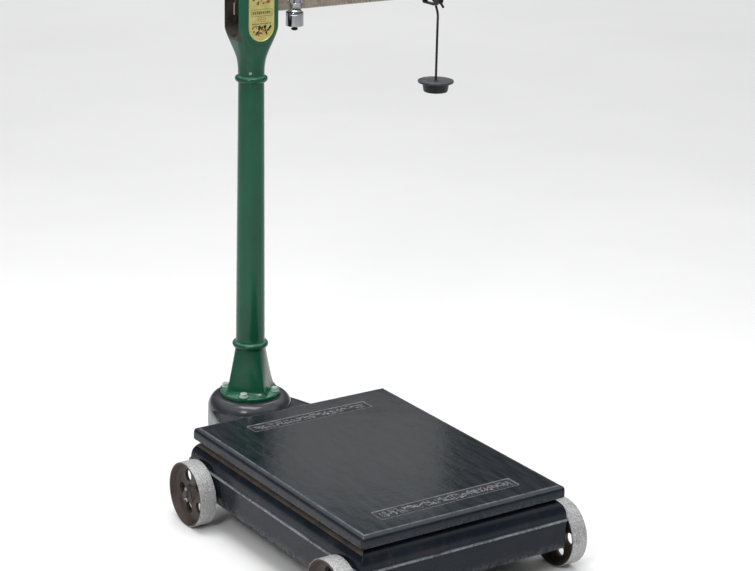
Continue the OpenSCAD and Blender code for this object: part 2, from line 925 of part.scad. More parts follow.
rod_low = -56;
rod_high = 965;
pull_rod_r = 4;
module pull_rod() {
    color(steel)
    translate([0, column_y, rod_low - 14])
        cylinder(r = pull_rod_r, h = rod_high - rod_low + 17, $fn = 48);
}

// Fork under the pull rod that lifts the long lever's power knife
module lower_shackle() {
    color(steel)
    difference() {
        union() {
            for (s = [-1, 1])
                translate([s > 0 ? link_x : -link_x - link_t, column_y - 12, edge_z - 11])
                    cube([link_t, 24, rod_low + 14 - edge_z]);
            translate([-link_x - 1, column_y - 12, rod_low - 5])
                cube([2 * link_x + 2, 24, 8]);
        }
        translate([0, column_y, edge_z]) window_x(60, false);
        translate([0, column_y, rod_low - 10]) cylinder(r = pull_rod_r, h = 40, $fn = 48);
    }
}

// Fork over the beam that hangs the pull rod from the load knife
module upper_shackle() {
    half = beam_t / 2 + 4;
    color(steel)
    difference() {
        union() {
            for (s = [-1, 1])
                translate([-11, column_y + (s > 0 ? half : -half - 4), rod_high - 13])
                    cube([22, 4, pivot_z + 9 - rod_high + 13]);
            translate([-11, column_y - half - 1, rod_high - 13]) cube([22, 2 * half + 2, 8]);
        }
        translate([0, column_y, pivot_z]) window_y(60, true);
        translate([0, column_y, rod_high - 20]) cylinder(r = pull_rod_r, h = 40, $fn = 48);
    }
}

// Nuts on the threaded ends of the pull rod, two at each fork
module pull_rod_nuts() {
    color(steel)
    for (z = [rod_low + 3, rod_low - 5 - 5.4, rod_high - 5, rod_high - 13 - 5.4])
        translate([0, column_y, z])
            difference() {
                hexagon(12, 5.4);
                translate([0, 0, -1]) cylinder(r = pull_rod_r, h = 8, $fn = 48);
            }
}

// ---------------------------------------------------------------- beam

lug_x = [-44, 20];

module beam() {
    color(brass)
    difference() {
        union() {
            translate([beam_x0, column_y - beam_t / 2, beam_z0])
                cube([beam_x1 - beam_x0, beam_t, beam_h]);
            translate([fulcrum_x, column_y, pivot_z])
                rotate([90, 0, 0]) cylinder(r = 19, h = beam_t + 4, center = true);
            for (x = lug_x)
                translate([x - 4, column_y - beam_t / 2, pivot_z])
                    cube([8, beam_t, balance_z + 6 - pivot_z]);
        }
        translate([0, column_y, pivot_z]) knife_y(40, true);
        translate([fulcrum_x, column_y, pivot_z]) knife_y(80, false);
        translate([power_x, column_y, pivot_z]) knife_y(40, true, low_knife_h);
        translate([-80, column_y, balance_z])
            rotate([0, 90, 0]) cylinder(r = 2.5, h = 160, $fn = small_fn);
        beam_pin_places() cylinder(r = 2, h = 40, center = true, $fn = small_fn);
    }
}

module beam_fulcrum_knife() {
    color(steel) translate([fulcrum_x, column_y, pivot_z]) knife_y(2 * slot_half - 6, false);
}

module beam_load_knife() {
    color(steel) translate([0, column_y, pivot_z]) knife_y(26, true);
}

module beam_power_knife() {
    color(steel) translate([power_x, column_y, pivot_z]) knife_y(38, true, low_knife_h);
}

// Threaded rod above the beam that carries the balance ball
module balance_screw() {
    color(steel)
    translate([lug_x[0] - 6, column_y, balance_z])
        rotate([0, 90, 0]) cylinder(r = 2.5, h = lug_x[1] - lug_x[0] + 12, $fn = small_fn);
}

// Travel of the poise from its zero place to the end of the graduation
poise_travel = 380;

// Pins through the beam that stop the poise at both ends of the graduation
module beam_pin_places() {
    for (x = [poise_x - 24, poise_x + poise_travel + 24])
        translate([x, column_y, beam_z0 + beam_h - 5]) rotate([90, 0, 0]) children();
}

module beam_stop_pins() {
    color(steel) beam_pin_places() cylinder(r = 2, h = 16, center = true, $fn = small_fn);
}

// Weight that runs along the threaded rod to set the empty scale to zero
ball_x = -12;
ball_l = 20;
module balance_ball() {
    color(chrome)
    translate([ball_x, column_y, balance_z])
        rotate([0, 90, 0])
            difference() {
                rotate_extrude($fn = 64)
                    polygon([[2.55, -ball_l / 2], [ball_r - 2, -ball_l / 2],
                             [ball_r, -ball_l / 2 + 2], [ball_r, ball_l / 2 - 2],
                             [ball_r - 2, ball_l / 2], [2.55, ball_l / 2]]);
                rotate([0, -90, 0]) translate([0, 0, 2.6]) cylinder(r = 2, h = 20, $fn = small_fn);
            }
}

module ball_lock_screw() {
    color(steel)
    translate([ball_x, column_y, balance_z + 2.8])
        cylinder(r = 2, h = ball_r - 1.5, $fn = small_fn);
}

// ---------------------------------------------------------------- poise

poise_r = 23;
poise_z1 = beam_z0 - 6;
poise_z0 = poise_z1 - 37;
saddle_w = 39;
saddle_d = 34;

// Round hanging weight of the poise
module poise_body() {
    color(chrome)
    translate([poise_x, column_y, 0])
        difference() {
            rotate_extrude($fn = 96)
                polygon([[0, poise_z0], [poise_r - 1.5, poise_z0], [poise_r, poise_z0 + 1.5],
                         [poise_r, poise_z1 - 1.5], [poise_r - 1.5, poise_z1], [0, poise_z1]]);
            translate([0, 0, poise_z0 - 1]) cylinder(r = 5, h = 15, $fn = small_fn);
            poise_screw_places() cylinder(r = 2.5, h = 12, $fn = small_fn);
        }
}

module poise_screw_places() {
    for (s = [-1, 1])
        translate([0, s * 11, poise_z1 - 10]) children();
}

// Block that straddles the beam, with a bridge over its top edge
module poise_saddle() {
    top = beam_z0 + beam_h + 12;
    color(chrome)
    translate([poise_x, column_y, 0])
        difference() {
            translate([-saddle_w / 2, -saddle_d / 2, poise_z1])
                cube([saddle_w, saddle_d, top - poise_z1]);
            translate([-saddle_w, -beam_t / 2 - 0.4, beam_z0 - 1])
                cube([2 * saddle_w, beam_t + 0.8, beam_h + 1.4]);
            for (s = [-1, 1])
                translate([-saddle_w, s * 15 - 5.5, beam_z0 + beam_h - 11])
                    cube([2 * saddle_w, 11, 40]);
            poise_screw_places() cylinder(r = 2.5, h = 15, $fn = small_fn);
        }
}

module poise_screws() {
    color(steel)
    translate([poise_x, column_y, 0])
        poise_screw_places() cylinder(r = 2.5, h = 15, $fn = small_fn);
}

// Screwed plug under the poise that closes its adjusting cavity
module poise_plug() {
    color(black)
    translate([poise_x, column_y, 0]) {
        translate([0, 0, poise_z0 - 4]) cylinder(r = 5, h = 16, $fn = small_fn);
        translate([0, 0, poise_z0 - 12])
            rotate_extrude($fn = 48)
                polygon(concat([[0, 0]], arc(0, 4.5, 9, 4.5, -80, 80, 12), [[0, 9]]));
    }
}

// ---------------------------------------------------------------- hanger

// Stirrup on the power knife: two cheeks and a round bar for the hook
module end_stirrup() {
    half = 15;
    color(black)
    translate([power_x, column_y, 0]) {
        for (s = [-1, 1])
            difference() {
                translate([-8, s > 0 ? half - 4 : -half, stirrup_z - 6])
                    cube([16, 4, pivot_z + 10 - stirrup_z + 6]);
                translate([0, 0, pivot_z]) stirrup_window();
            }
        translate([0, 0, stirrup_z])
            rotate([90, 0, 0]) cylinder(r = 4, h = 2 * half - 6, center = true, $fn = small_fn);
    }
}

// Opening in the stirrup's cheeks, wide enough for the knife as the stirrup swings
module stirrup_window() {
    rotate([90, 0, 0])
        linear_extrude(60, center = true)
            polygon([[0, seat_gap], [5.8, -3], [5.8, -low_knife_h - 2], [-5.8, -low_knife_h - 2],
                     [-5.8, -3]]);
}

// Hook of the hanger: an open ring over the stirrup's bar, a flared tip and a bent stem.
// Places are X and Z from the middle of the stirrup's bar.
hook_r = 8.4;
hook_from = -30;
hook_to = 195;
hook_start = hook_r * [cos(hook_from), sin(hook_from)];
hook_end = hook_r * [cos(hook_to), sin(hook_to)];
hook_tip = [19.5, -19];
stem_knee = [rod_x - power_x, -39.2];

// Round stretch of rod between two places, with a ball at its first end
module rod_line(p, q) {
    run = q - p;
    translate([p[0], 0, p[1]]) {
        sphere(r = rod_r + 0.05, $fn = 24);
        rotate([0, atan2(run[0], run[1]), 0]) cylinder(r = rod_r, h = norm(run), $fn = 24);
    }
}

module hanger_rod() {
    color(black)
    translate([power_x, column_y, stirrup_z]) {
        rotate([90, 0, 0])
            rotate([0, 0, hook_from - 2])
                rotate_extrude(angle = hook_to - hook_from + 4, $fn = 64)
                    translate([hook_r, 0]) circle(r = rod_r, $fn = 24);
        rod_line(hook_start, hook_tip);
        rod_line(hook_end, stem_knee);
        rod_line(stem_knee, [stem_knee[0], dish_z - 36 - stirrup_z]);
    }
}

// Round dish for the slotted weights, with a groove in its rim and a hollow underside
module hanger_dish() {
    color(black)
    translate([rod_x, column_y, dish_z])
        rotate_extrude($fn = 96)
            polygon([[rod_r, 0], [22, 0], [24, 1.5], [40, 1.5], [42, 3], [dish_r - 2, 3],
                     [dish_r, 1.5], [dish_r, -2.5], [dish_r - 2, -4.5], [37, -5], [33, -27],
                     [31, -29], [28, -29], [31, -6], [9, -6], [9, -29], [rod_r, -29]]);
}

module hanger_nut() {
    color(steel)
    translate([rod_x, column_y, dish_z - 34])
        difference() {
            hexagon(12, 5);
            translate([0, 0, -1]) cylinder(r = rod_r, h = 8, $fn = 24);
        }
}

// ---------------------------------------------------------------- assembly

base_frame();
bearing_blocks();
bearing_screws();
axle_pins();
axle_washers();
split_pins();
column();
column_bolts();
column_washers();
head();
head_set_screw();
name_plate();
fulcrum_bearings();
guard_arm();
guard_loop();
guard_screws();
wheel_front_left();
wheel_front_right();
wheel_rear_left();
wheel_rear_right();
platform();
platform_bearings();
bearing_shoe_pins();
long_lever();
long_fulcrum_knives();
long_load_knives();
long_link_knife();
long_power_knife();
short_lever();
short_fulcrum_knives();
short_load_knives();
short_power_knife();
lever_link();
pull_rod();
lower_shackle();
upper_shackle();
pull_rod_nuts();
beam();
beam_fulcrum_knife();
beam_load_knife();
beam_power_knife();
balance_screw();
beam_stop_pins();
balance_ball();
ball_lock_screw();
poise_body();
poise_saddle();
poise_screws();
poise_plug();
end_stirrup();
hanger_rod();
hanger_dish();
hanger_nut();
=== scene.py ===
import math
import random
import bmesh
import bpy
from mathutils import Matrix, Vector


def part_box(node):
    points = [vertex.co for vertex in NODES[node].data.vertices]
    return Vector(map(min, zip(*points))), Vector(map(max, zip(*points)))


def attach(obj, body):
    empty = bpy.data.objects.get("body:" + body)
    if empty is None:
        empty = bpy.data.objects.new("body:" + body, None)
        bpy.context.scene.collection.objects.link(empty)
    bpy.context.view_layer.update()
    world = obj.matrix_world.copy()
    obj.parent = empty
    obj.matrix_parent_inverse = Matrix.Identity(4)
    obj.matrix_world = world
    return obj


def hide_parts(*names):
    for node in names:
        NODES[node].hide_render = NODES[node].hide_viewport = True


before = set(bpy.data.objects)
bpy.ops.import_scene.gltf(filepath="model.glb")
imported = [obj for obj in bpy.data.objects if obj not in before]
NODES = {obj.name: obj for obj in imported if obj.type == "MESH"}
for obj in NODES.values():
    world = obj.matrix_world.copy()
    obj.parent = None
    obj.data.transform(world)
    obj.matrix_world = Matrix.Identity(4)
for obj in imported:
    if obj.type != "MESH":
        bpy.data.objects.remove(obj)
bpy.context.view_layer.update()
RNG = random.Random(11)
MM = 0.001


def frame_half(node):
    """Half widths of a node's box along X and Y."""
    lo, hi = (Vector(v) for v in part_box(node))
    return (hi.x - lo.x) / 2, (hi.y - lo.y) / 2


# ------------------------------------------------------------------ materials

class Graph:
    """A procedural material: a Principled surface fed by noise, wear and bump."""

    def __init__(self, name):
        self.mat = bpy.data.materials.new(name)
        self.mat.use_nodes = True
        self.nt = self.mat.node_tree
        self.bsdf = self.nt.nodes["Principled BSDF"]
        self.coords = self.nt.nodes.new("ShaderNodeTexCoord").outputs["Object"]

    def node(self, kind, **inputs):
        n = self.nt.nodes.new(kind)
        for key, value in inputs.items():
            self.feed(n.inputs[key.replace("_", " ")], value)
        return n

    def feed(self, socket, value):
        if isinstance(value, bpy.types.NodeSocket):
            self.nt.links.new(value, socket)
        else:
            socket.default_value = value

    def stretched(self, scale):
        m = self.node("ShaderNodeMapping", Vector=self.coords)
        m.inputs["Scale"].default_value = scale
        return m.outputs["Vector"]

    def noise(self, scale, detail=4.0, rough=0.55, distortion=0.0, vector=None):
        n = self.node("ShaderNodeTexNoise", Vector=vector or self.coords, Scale=scale,
                      Detail=detail, Roughness=rough, Distortion=distortion)
        return n.outputs["Fac"]

    def voronoi(self, scale):
        n = self.node("ShaderNodeTexVoronoi", Vector=self.coords, Scale=scale)
        return n.outputs["Distance"]

    def remap(self, value, a, b, lo=0.0, hi=1.0):
        n = self.node("ShaderNodeMapRange", Value=value)
        n.inputs["From Min"].default_value = a
        n.inputs["From Max"].default_value = b
        n.inputs["To Min"].default_value = lo
        n.inputs["To Max"].default_value = hi
        return n.outputs["Result"]

    def math(self, op, a, b):
        n = self.nt.nodes.new("ShaderNodeMath")
        n.operation = op
        self.feed(n.inputs[0], a)
        self.feed(n.inputs[1], b)
        return n.outputs["Value"]

    def mix(self, fac, a, b):
        n = self.nt.nodes.new("ShaderNodeMix")
        n.data_type = "RGBA"
        self.feed(n.inputs["Factor"], fac)
        self.feed(n.inputs["A"], (*a, 1.0) if isinstance(a, tuple) else a)
        self.feed(n.inputs["B"], (*b, 1.0) if isinstance(b, tuple) else b)
        return n.outputs["Result"]

    def edges(self, lo=0.53, hi=0.60):
        g = self.nt.nodes.new("ShaderNodeNewGeometry")
        return self.remap(g.outputs["Pointiness"], lo, hi)

    def hollows(self, lo=0.40, hi=0.48):
        g = self.nt.nodes.new("ShaderNodeNewGeometry")
        return self.remap(g.outputs["Pointiness"], hi, lo)

    def height_z(self, z0, z1):
        s = self.node("ShaderNodeSeparateXYZ", Vector=self.coords)
        return self.remap(s.outputs["Z"], z0, z1)

    def finish(self, colour, rough, metal=0.0, coat=0.0, coat_rough=0.05, bumps=(), spec=0.5):
        b = self.bsdf.inputs
        b["Specular IOR Level"].default_value = spec
        self.feed(b["Base Color"], colour)
        self.feed(b["Roughness"], rough)
        self.feed(b["Metallic"], metal)
        b["Coat Weight"].default_value = coat
        b["Coat Roughness"].default_value = coat_rough
        normal = None
        for height, strength, distance in bumps:
            n = self.node("ShaderNodeBump", Height=height, Strength=strength)
            n.inputs["Distance"].default_value = distance
            if normal is not None:
                self.nt.links.new(normal, n.inputs["Normal"])
            normal = n.outputs["Normal"]
        if normal is not None:
            self.nt.links.new(normal, b["Normal"])
        return self.mat


def gloss_iron(name, dark, light, worn, wear=0.6, scale=9.0, rust=0.0, rough=0.22, wave=0.25,
               spec=0.34):
    g = Graph(name)
    broad = g.noise(scale, 5)
    colour = g.mix(g.remap(broad, 0.3, 0.7), dark, light)
    grain = g.noise(420, 3)
    if rust:
        patch = g.math("MULTIPLY", g.remap(g.noise(24, 8, 0.7), 0.54, 0.70), rust)
        colour = g.mix(patch, colour, (0.11, 0.058, 0.032))
    chips = g.math("MULTIPLY", g.edges(), g.remap(g.noise(90, 6, 0.7), 0.42, 0.56))
    colour = g.mix(g.math("MULTIPLY", chips, wear), colour, worn)
    specks = g.remap(g.voronoi(240), 0.06, 0.02)
    specks = g.math("MULTIPLY", specks, g.remap(g.noise(14, 3), 0.52, 0.62))
    colour = g.mix(g.math("MULTIPLY", specks, 0.5), colour, worn)
    r = g.math("ADD", g.remap(g.noise(60, 6, 0.65), 0.3, 0.7, rough - 0.07, rough + 0.10),
               g.math("MULTIPLY", chips, 0.25))
    return g.finish(colour, r, 0.0, 0.05, 0.08,
                    [(g.noise(22, 3), wave, 0.0012), (grain, 0.10, 0.0004)], spec)


def slab_iron(name, hx, hy):
    """The platform's gloss: fine streaks along Y, and a worn line along its top edges."""
    g = Graph(name)
    streak = g.noise(7.0, 8, 0.68, 0.2, g.stretched((9.0, 1.4, 4.0)))
    colour = g.mix(g.remap(streak, 0.32, 0.68), (0.006, 0.0085, 0.0110), (0.026, 0.030, 0.034))
    brown = g.math("MULTIPLY", g.remap(g.noise(5.0, 6, 0.7), 0.56, 0.72), 0.3)
    colour = g.mix(brown, colour, (0.030, 0.026, 0.021))
    axes = g.node("ShaderNodeSeparateXYZ", Vector=g.coords)
    inset = g.math("MINIMUM", g.math("SUBTRACT", hx, g.math("ABSOLUTE", axes.outputs["X"], 0.0)),
                   g.math("SUBTRACT", hy, g.math("ABSOLUTE", axes.outputs["Y"], 0.0)))
    side = g.remap(inset, 0.0125, 0.0095)
    colour = g.mix(g.math("MULTIPLY", side, 0.7), colour, (0.017, 0.022, 0.030))
    line = g.math("MULTIPLY", g.remap(inset, 0.0090, 0.0112), g.remap(inset, 0.0152, 0.0128))
    line = g.math("MULTIPLY", line, g.remap(g.noise(24, 7, 0.75), 0.40, 0.60, 0.15, 1.0))
    colour = g.mix(g.math("MULTIPLY", line, 0.36), colour, (0.26, 0.28, 0.32))
    chips = g.math("MULTIPLY", side, g.remap(g.noise(110, 6, 0.8), 0.63, 0.70))
    colour = g.mix(g.math("MULTIPLY", chips, 0.6), colour, (0.28, 0.29, 0.31))
    scratch = g.remap(g.noise(34, 2, 0.5, 0.0, g.stretched((1.0, 14.0, 1.0))), 0.68, 0.74)
    colour = g.mix(g.math("MULTIPLY", scratch, 0.10), colour, (0.12, 0.125, 0.13))
    rough = g.remap(streak, 0.3, 0.7, 0.06, 0.16)
    rough = g.math("ADD", rough, g.math("MULTIPLY", line, 0.2))
    return g.finish(colour, rough, 0.0, 0.15, 0.08,
                    [(g.noise(13, 3, 0.5, 0.3), 0.28, 0.0014),
                     (g.noise(70, 4, 0.6, 0.2), 0.22, 0.0008),
                     (g.noise(300, 4, 0.6, 0.0, g.stretched((1.0, 0.25, 1.0))), 0.2, 0.0004)], 0.42)


def cast_green(name):
    g = Graph(name)
    broad = g.noise(5.5, 5)
    colour = g.mix(g.remap(broad, 0.3, 0.7), (0.004, 0.060, 0.030), (0.008, 0.092, 0.048))
    runs = g.noise(26, 5, 0.6, 0.0, g.stretched((1.0, 1.0, 0.18)))
    colour = g.mix(g.remap(runs, 0.56, 0.74, 0.0, 0.35), colour, (0.018, 0.135, 0.078))
    # Darker green in hollows: painted shade.
    hollow_shade = g.math("MULTIPLY", g.hollows(), g.remap(g.noise(50, 5), 0.35, 0.6))
    colour = g.mix(g.math("MULTIPLY", hollow_shade, 0.7), colour, (0.010, 0.028, 0.020))
    chips = g.math("MULTIPLY", g.edges(0.55, 0.62), g.remap(g.noise(80, 6, 0.7), 0.48, 0.60))
    colour = g.mix(g.math("MULTIPLY", chips, 0.5), colour, (0.16, 0.36, 0.27))
    # Paler green on upward-facing surfaces such as ledges and bead tops: a painted highlight.
    up = g.node("ShaderNodeSeparateXYZ", Vector=g.node("ShaderNodeNewGeometry").outputs["Normal"])
    top_highlight = g.remap(up.outputs["Z"], 0.50, 0.97, 0.0, 0.50)
    top_highlight = g.math("MULTIPLY", top_highlight, g.remap(g.noise(22, 5), 0.30, 0.62, 0.25, 1.0))
    colour = g.mix(top_highlight, colour, (0.12, 0.30, 0.215))
    rough = g.remap(g.noise(70, 5), 0.3, 0.7, 0.14, 0.27)
    return g.finish(colour, rough, 0.0, 0.10, 0.05,
                    [(g.noise(30, 4), 0.30, 0.0010), (g.noise(260, 3), 0.12, 0.0004)], 0.26)


def tread_metal(name):
    g = Graph(name)
    spots = g.noise(330, 5, 0.75)
    broad = g.noise(26, 5)
    colour = g.mix(g.remap(spots, 0.36, 0.64), (0.15, 0.148, 0.146), (0.66, 0.665, 0.67))
    dark = g.math("MULTIPLY", g.remap(broad, 0.5, 0.68), g.remap(g.noise(120, 6, 0.8), 0.42, 0.6))
    colour = g.mix(g.math("MULTIPLY", dark, 0.6), colour, (0.16, 0.14, 0.125))
    return g.finish(colour, g.remap(spots, 0.3, 0.7, 0.42, 0.70), 0.35, 0.0, 0.1,
                    [(g.noise(210, 6, 0.8), 0.75, 0.0012), (g.voronoi(330), 0.25, 0.0006)])


def rusty_iron(name, amount=0.7, base=(0.030, 0.026, 0.024)):
    g = Graph(name)
    patch = g.remap(g.noise(30, 8, 0.72), 0.40, 0.62)
    colour = g.mix(g.math("MULTIPLY", patch, amount), base, (0.085, 0.052, 0.038))
    colour = g.mix(g.remap(g.noise(95, 6, 0.7), 0.56, 0.72, 0.0, 0.55), colour, (0.17, 0.115, 0.085))
    colour = g.mix(g.math("MULTIPLY", g.edges(0.54, 0.64), 0.35), colour, (0.28, 0.25, 0.23))
    return g.finish(colour, g.remap(patch, 0.0, 1.0, 0.42, 0.72), 0.1, 0.0, 0.1,
                    [(g.noise(150, 6, 0.75), 0.55, 0.0012), (g.noise(620, 3), 0.25, 0.0004)])


def plain_metal(name, colour=(0.50, 0.51, 0.52), rough=0.30, stain=(0.20, 0.16, 0.13), amount=0.35):
    g = Graph(name)
    lines = g.noise(60, 4, 0.6, 0.0, g.stretched((1.0, 1.0, 14.0)))
    c = g.mix(g.remap(lines, 0.3, 0.7, 0.0, 0.35), colour, tuple(v * 0.62 for v in colour))
    c = g.mix(g.math("MULTIPLY", g.remap(g.noise(45, 7, 0.7), 0.52, 0.68), amount), c, stain)
    return g.finish(c, g.remap(lines, 0.3, 0.7, rough - 0.08, rough + 0.12), 0.9, 0.0, 0.1,
                    [(lines, 0.12, 0.0003), (g.noise(500, 3), 0.08, 0.0002)])


def chrome(name):
    g = Graph(name)
    haze = g.noise(38, 5)
    c = g.mix(g.remap(haze, 0.4, 0.75, 0.0, 0.5), (0.40, 0.405, 0.42), (0.24, 0.24, 0.26))
    pits = g.remap(g.voronoi(520), 0.10, 0.03)
    c = g.mix(g.math("MULTIPLY", pits, 0.35), c, (0.10, 0.09, 0.09))
    return g.finish(c, g.remap(haze, 0.3, 0.7, 0.07, 0.20), 1.0, 0.0, 0.1,
                    [(g.noise(110, 4), 0.10, 0.0004), (g.noise(700, 2), 0.05, 0.0002)])


def aged_brass(name):
    g = Graph(name)
    grain = g.noise(38, 6, 0.65, 0.0, g.stretched((0.6, 1.0, 5.0)))
    c = g.mix(g.remap(grain, 0.3, 0.7), (0.17, 0.130, 0.085), (0.28, 0.225, 0.155))
    spots = g.remap(g.noise(30, 7, 0.72), 0.53, 0.62)
    c = g.mix(g.math("MULTIPLY", spots, 0.8), c, (0.10, 0.040, 0.022))
    c = g.mix(g.math("MULTIPLY", g.edges(0.53, 0.60), 0.5), c, (0.46, 0.44, 0.40))
    # Darkens the beam where it runs inside the head, but not its end face: painted shade together with
    # dirt.
    axes = g.node("ShaderNodeSeparateXYZ", Vector=g.coords)
    shade_in_head = g.math("MULTIPLY", g.remap(axes.outputs["X"], 0.062, 0.044),
                  g.remap(axes.outputs["X"], -0.0509, -0.0500))
    c = g.mix(g.math("MULTIPLY", shade_in_head, 0.9), c, (0.020, 0.017, 0.014))
    return g.finish(c, g.remap(grain, 0.3, 0.7, 0.38, 0.58), 0.35, 0.0, 0.1,
                    [(g.noise(260, 4), 0.20, 0.0004), (grain, 0.1, 0.0004)])


def satin_black(name, light=0.10):
    g = Graph(name)
    c = g.mix(g.remap(g.noise(30, 5), 0.3, 0.7), (0.005, 0.005, 0.006), (0.012, 0.012, 0.013))
    c = g.mix(g.math("MULTIPLY", g.edges(0.53, 0.62), 0.55), c, (light, light, light * 1.05))
    return g.finish(c, g.remap(g.noise(90, 5), 0.3, 0.7, 0.28, 0.48), 0.0, 0.0, 0.1,
                    [(g.noise(230, 5), 0.25, 0.0005)], 0.22)


def dish_paint(name):
    g = Graph(name)
    # Paler grey on the dish's top rim, set by height: a painted highlight.
    up = g.height_z(0.7555, 0.7615)
    c = g.mix(g.remap(g.noise(45, 6), 0.3, 0.7), (0.005, 0.006, 0.007), (0.012, 0.013, 0.015))
    c = g.mix(g.math("MULTIPLY", up, g.remap(g.noise(70, 5), 0.25, 0.7, 0.35, 0.85)), c,
              (0.085, 0.092, 0.105))
    return g.finish(c, g.remap(g.noise(120, 5), 0.3, 0.7, 0.28, 0.46), 0.0, 0.0, 0.1,
                    [(g.noise(320, 5), 0.3, 0.0005)], 0.26)


def plate_gold(name):
    g = Graph(name)
    c = g.mix(g.remap(g.noise(45, 6), 0.3, 0.7), (0.42, 0.38, 0.10), (0.58, 0.53, 0.20))
    c = g.mix(g.remap(g.noise(160, 7, 0.75), 0.58, 0.70, 0.0, 0.6), c, (0.14, 0.11, 0.03))
    return g.finish(c, g.remap(g.noise(80, 4), 0.3, 0.7, 0.28, 0.45), 0.45, 0.3, 0.1,
                    [(g.noise(300, 4), 0.2, 0.0003)])


def printed(name, colour):
    g = Graph(name)
    c = g.mix(g.remap(g.noise(260, 6, 0.8), 0.48, 0.60, 0.0, 0.6), colour, (0.36, 0.32, 0.10))
    return g.finish(c, 0.4, 0.1, 0.0, 0.1, [(g.noise(400, 3), 0.15, 0.0002)])


def grime(name):
    """Brownish paint in the shadowed recess of the base's top."""
    g = Graph(name)
    c = g.mix(g.remap(g.noise(18, 7, 0.7), 0.35, 0.65), (0.028, 0.025, 0.023), (0.095, 0.068, 0.046))
    c = g.mix(g.remap(g.noise(60, 6, 0.8), 0.60, 0.70, 0.0, 0.8), c, (0.15, 0.075, 0.035))
    return g.finish(c, g.remap(g.noise(70, 5), 0.3, 0.7, 0.45, 0.8), 0.0, 0.0, 0.1,
                    [(g.noise(120, 6, 0.7), 0.4, 0.0010)])


M = {
    "black_gloss_iron": gloss_iron("base_paint", (0.007, 0.010, 0.015), (0.013, 0.017, 0.024),
                                   (0.30, 0.32, 0.36), 0.6, 7.0, 0.20, 0.20, 0.25, 0.14),
    "slab_side": gloss_iron("platform_side_paint", (0.008, 0.011, 0.016), (0.015, 0.019, 0.026),
                            (0.20, 0.21, 0.23), 0.22, 7.0, 0.20, 0.20, 0.25, 0.16),
    # The pad and nose greys are lighter than the base paint: partly painted reflection.
    "nose_iron": gloss_iron("nose_paint", (0.016, 0.018, 0.022), (0.060, 0.063, 0.070),
                            (0.45, 0.46, 0.48), 0.7, 16.0, 0.1, 0.16, 0.6, 0.40),
    "nose_wall": gloss_iron("nose_wall_paint", (0.012, 0.014, 0.018), (0.042, 0.045, 0.052),
                            (0.30, 0.31, 0.33), 0.06, 16.0, 0.15, 0.16, 0.6, 0.34),
    "slate_gloss_iron": slab_iron("platform_paint", *(frame_half("platform"))),
    "relief": gloss_iron("relief_paint", (0.040, 0.043, 0.050), (0.130, 0.135, 0.150),
                         (0.34, 0.35, 0.38), 0.65, 30.0, 0.2, 0.26),
    # Light grey for the panels' recess walls: a painted edge highlight.
    "panel_edge_highlight": gloss_iron("panel_edge_highlight_paint", (0.09, 0.095, 0.105), (0.22, 0.23, 0.25),
                         (0.40, 0.41, 0.44), 0.5, 40.0, 0.1, 0.30),
    # The bead band is painted much lighter than the base paint: a painted highlight along the bead, with
    # worn chips on it.
    "bead": gloss_iron("bead_paint", (0.022, 0.027, 0.036), (0.20, 0.22, 0.25),
                       (0.55, 0.57, 0.60), 0.8, 11.0, 0.2, 0.24),
    "green_gloss_paint": cast_green("green_enamel"),
    "painted_bolt_steel": gloss_iron("bolt_paint", (0.20, 0.34, 0.29), (0.48, 0.56, 0.52),
                                     (0.78, 0.80, 0.78), 0.8, 60.0, 0.1, 0.25),
    "rusty_cast_iron": rusty_iron("wheel_iron"),
    "tread": tread_metal("wheel_tread"),
    "lever_iron": rusty_iron("lever_iron", 0.5, (0.036, 0.034, 0.033)),
    "plain_steel": plain_metal("steel_wear"),
    "black_steel": satin_black("black_paint"),
    "dish": dish_paint("dish_paint"),
    "chrome_plate": chrome("chrome_wear"),
    "aged_brass": aged_brass("brass_wear"),
    "gold_plate": plate_gold("gold_wear"),
    "ink": printed("ink_dark", (0.045, 0.035, 0.02)),
    "red_ink": printed("ink_red", (0.30, 0.035, 0.02)),
    "grime": grime("recess_grime"),
    "panel_floor": gloss_iron("panel_floor_paint", (0.012, 0.013, 0.015), (0.030, 0.031, 0.034),
                              (0.20, 0.21, 0.22), 0.5, 40.0, 0.3, 0.30, 0.3, 0.2),
    "inner_iron": rusty_iron("inner_iron", 0.45, (0.026, 0.026, 0.028)),
    # Near-black for the inside of the head's slot: painted shade, with rust patches on it.
    "slot_shade": rusty_iron("slot_shade", 0.5, (0.010, 0.013, 0.012)),
}


# ------------------------------------------------------------------ meshes

def publish(name, bm, body, mats, replaced=(), smooth=35, bevel=0.0):
    """Turns a bmesh into a piece that rides on a body."""
    bmesh.ops.recalc_face_normals(bm, faces=bm.faces)
    me = bpy.data.meshes.new(name)
    bm.to_mesh(me)
    bm.free()
    me.shade_smooth()
    me.set_sharp_from_angle(angle=math.radians(smooth))
    ob = bpy.data.objects.new(name, me)
    bpy.context.scene.collection.objects.link(ob)
    for m in ([mats] if isinstance(mats, str) else mats):
        me.materials.append(M[m])
    if bevel:
        add_bevel(ob, bevel)
    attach(ob, body)
    if replaced:
        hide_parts(*replaced)
    return ob


def add_bevel(ob, width, segs=2, angle=32):
    b = ob.modifiers.new("bevel", "BEVEL")
    b.width = width
    b.segments = segs
    b.limit_method = "ANGLE"
    b.angle_limit = math.radians(angle)


def loft(bm, rings, close_v=False, cap0=False, cap1=False):
    """Faces between closed rings of points with the same count."""
    vs = [[bm.verts.new(p) for p in ring] for ring in rings]
    n = len(vs[0])
    spans = len(vs) if close_v else len(vs) - 1
    faces = []
    for i in range(spans):
        a, b = vs[i], vs[(i + 1) % len(vs)]
        for j in range(n):
            k = (j + 1) % n
            faces.append(bm.faces.new((a[j], a[k], b[k], b[j])))
    if cap0:
        faces.append(bm.faces.new(vs[0]))
    if cap1:
        faces.append(bm.faces.new(vs[-1]))
    return vs, faces


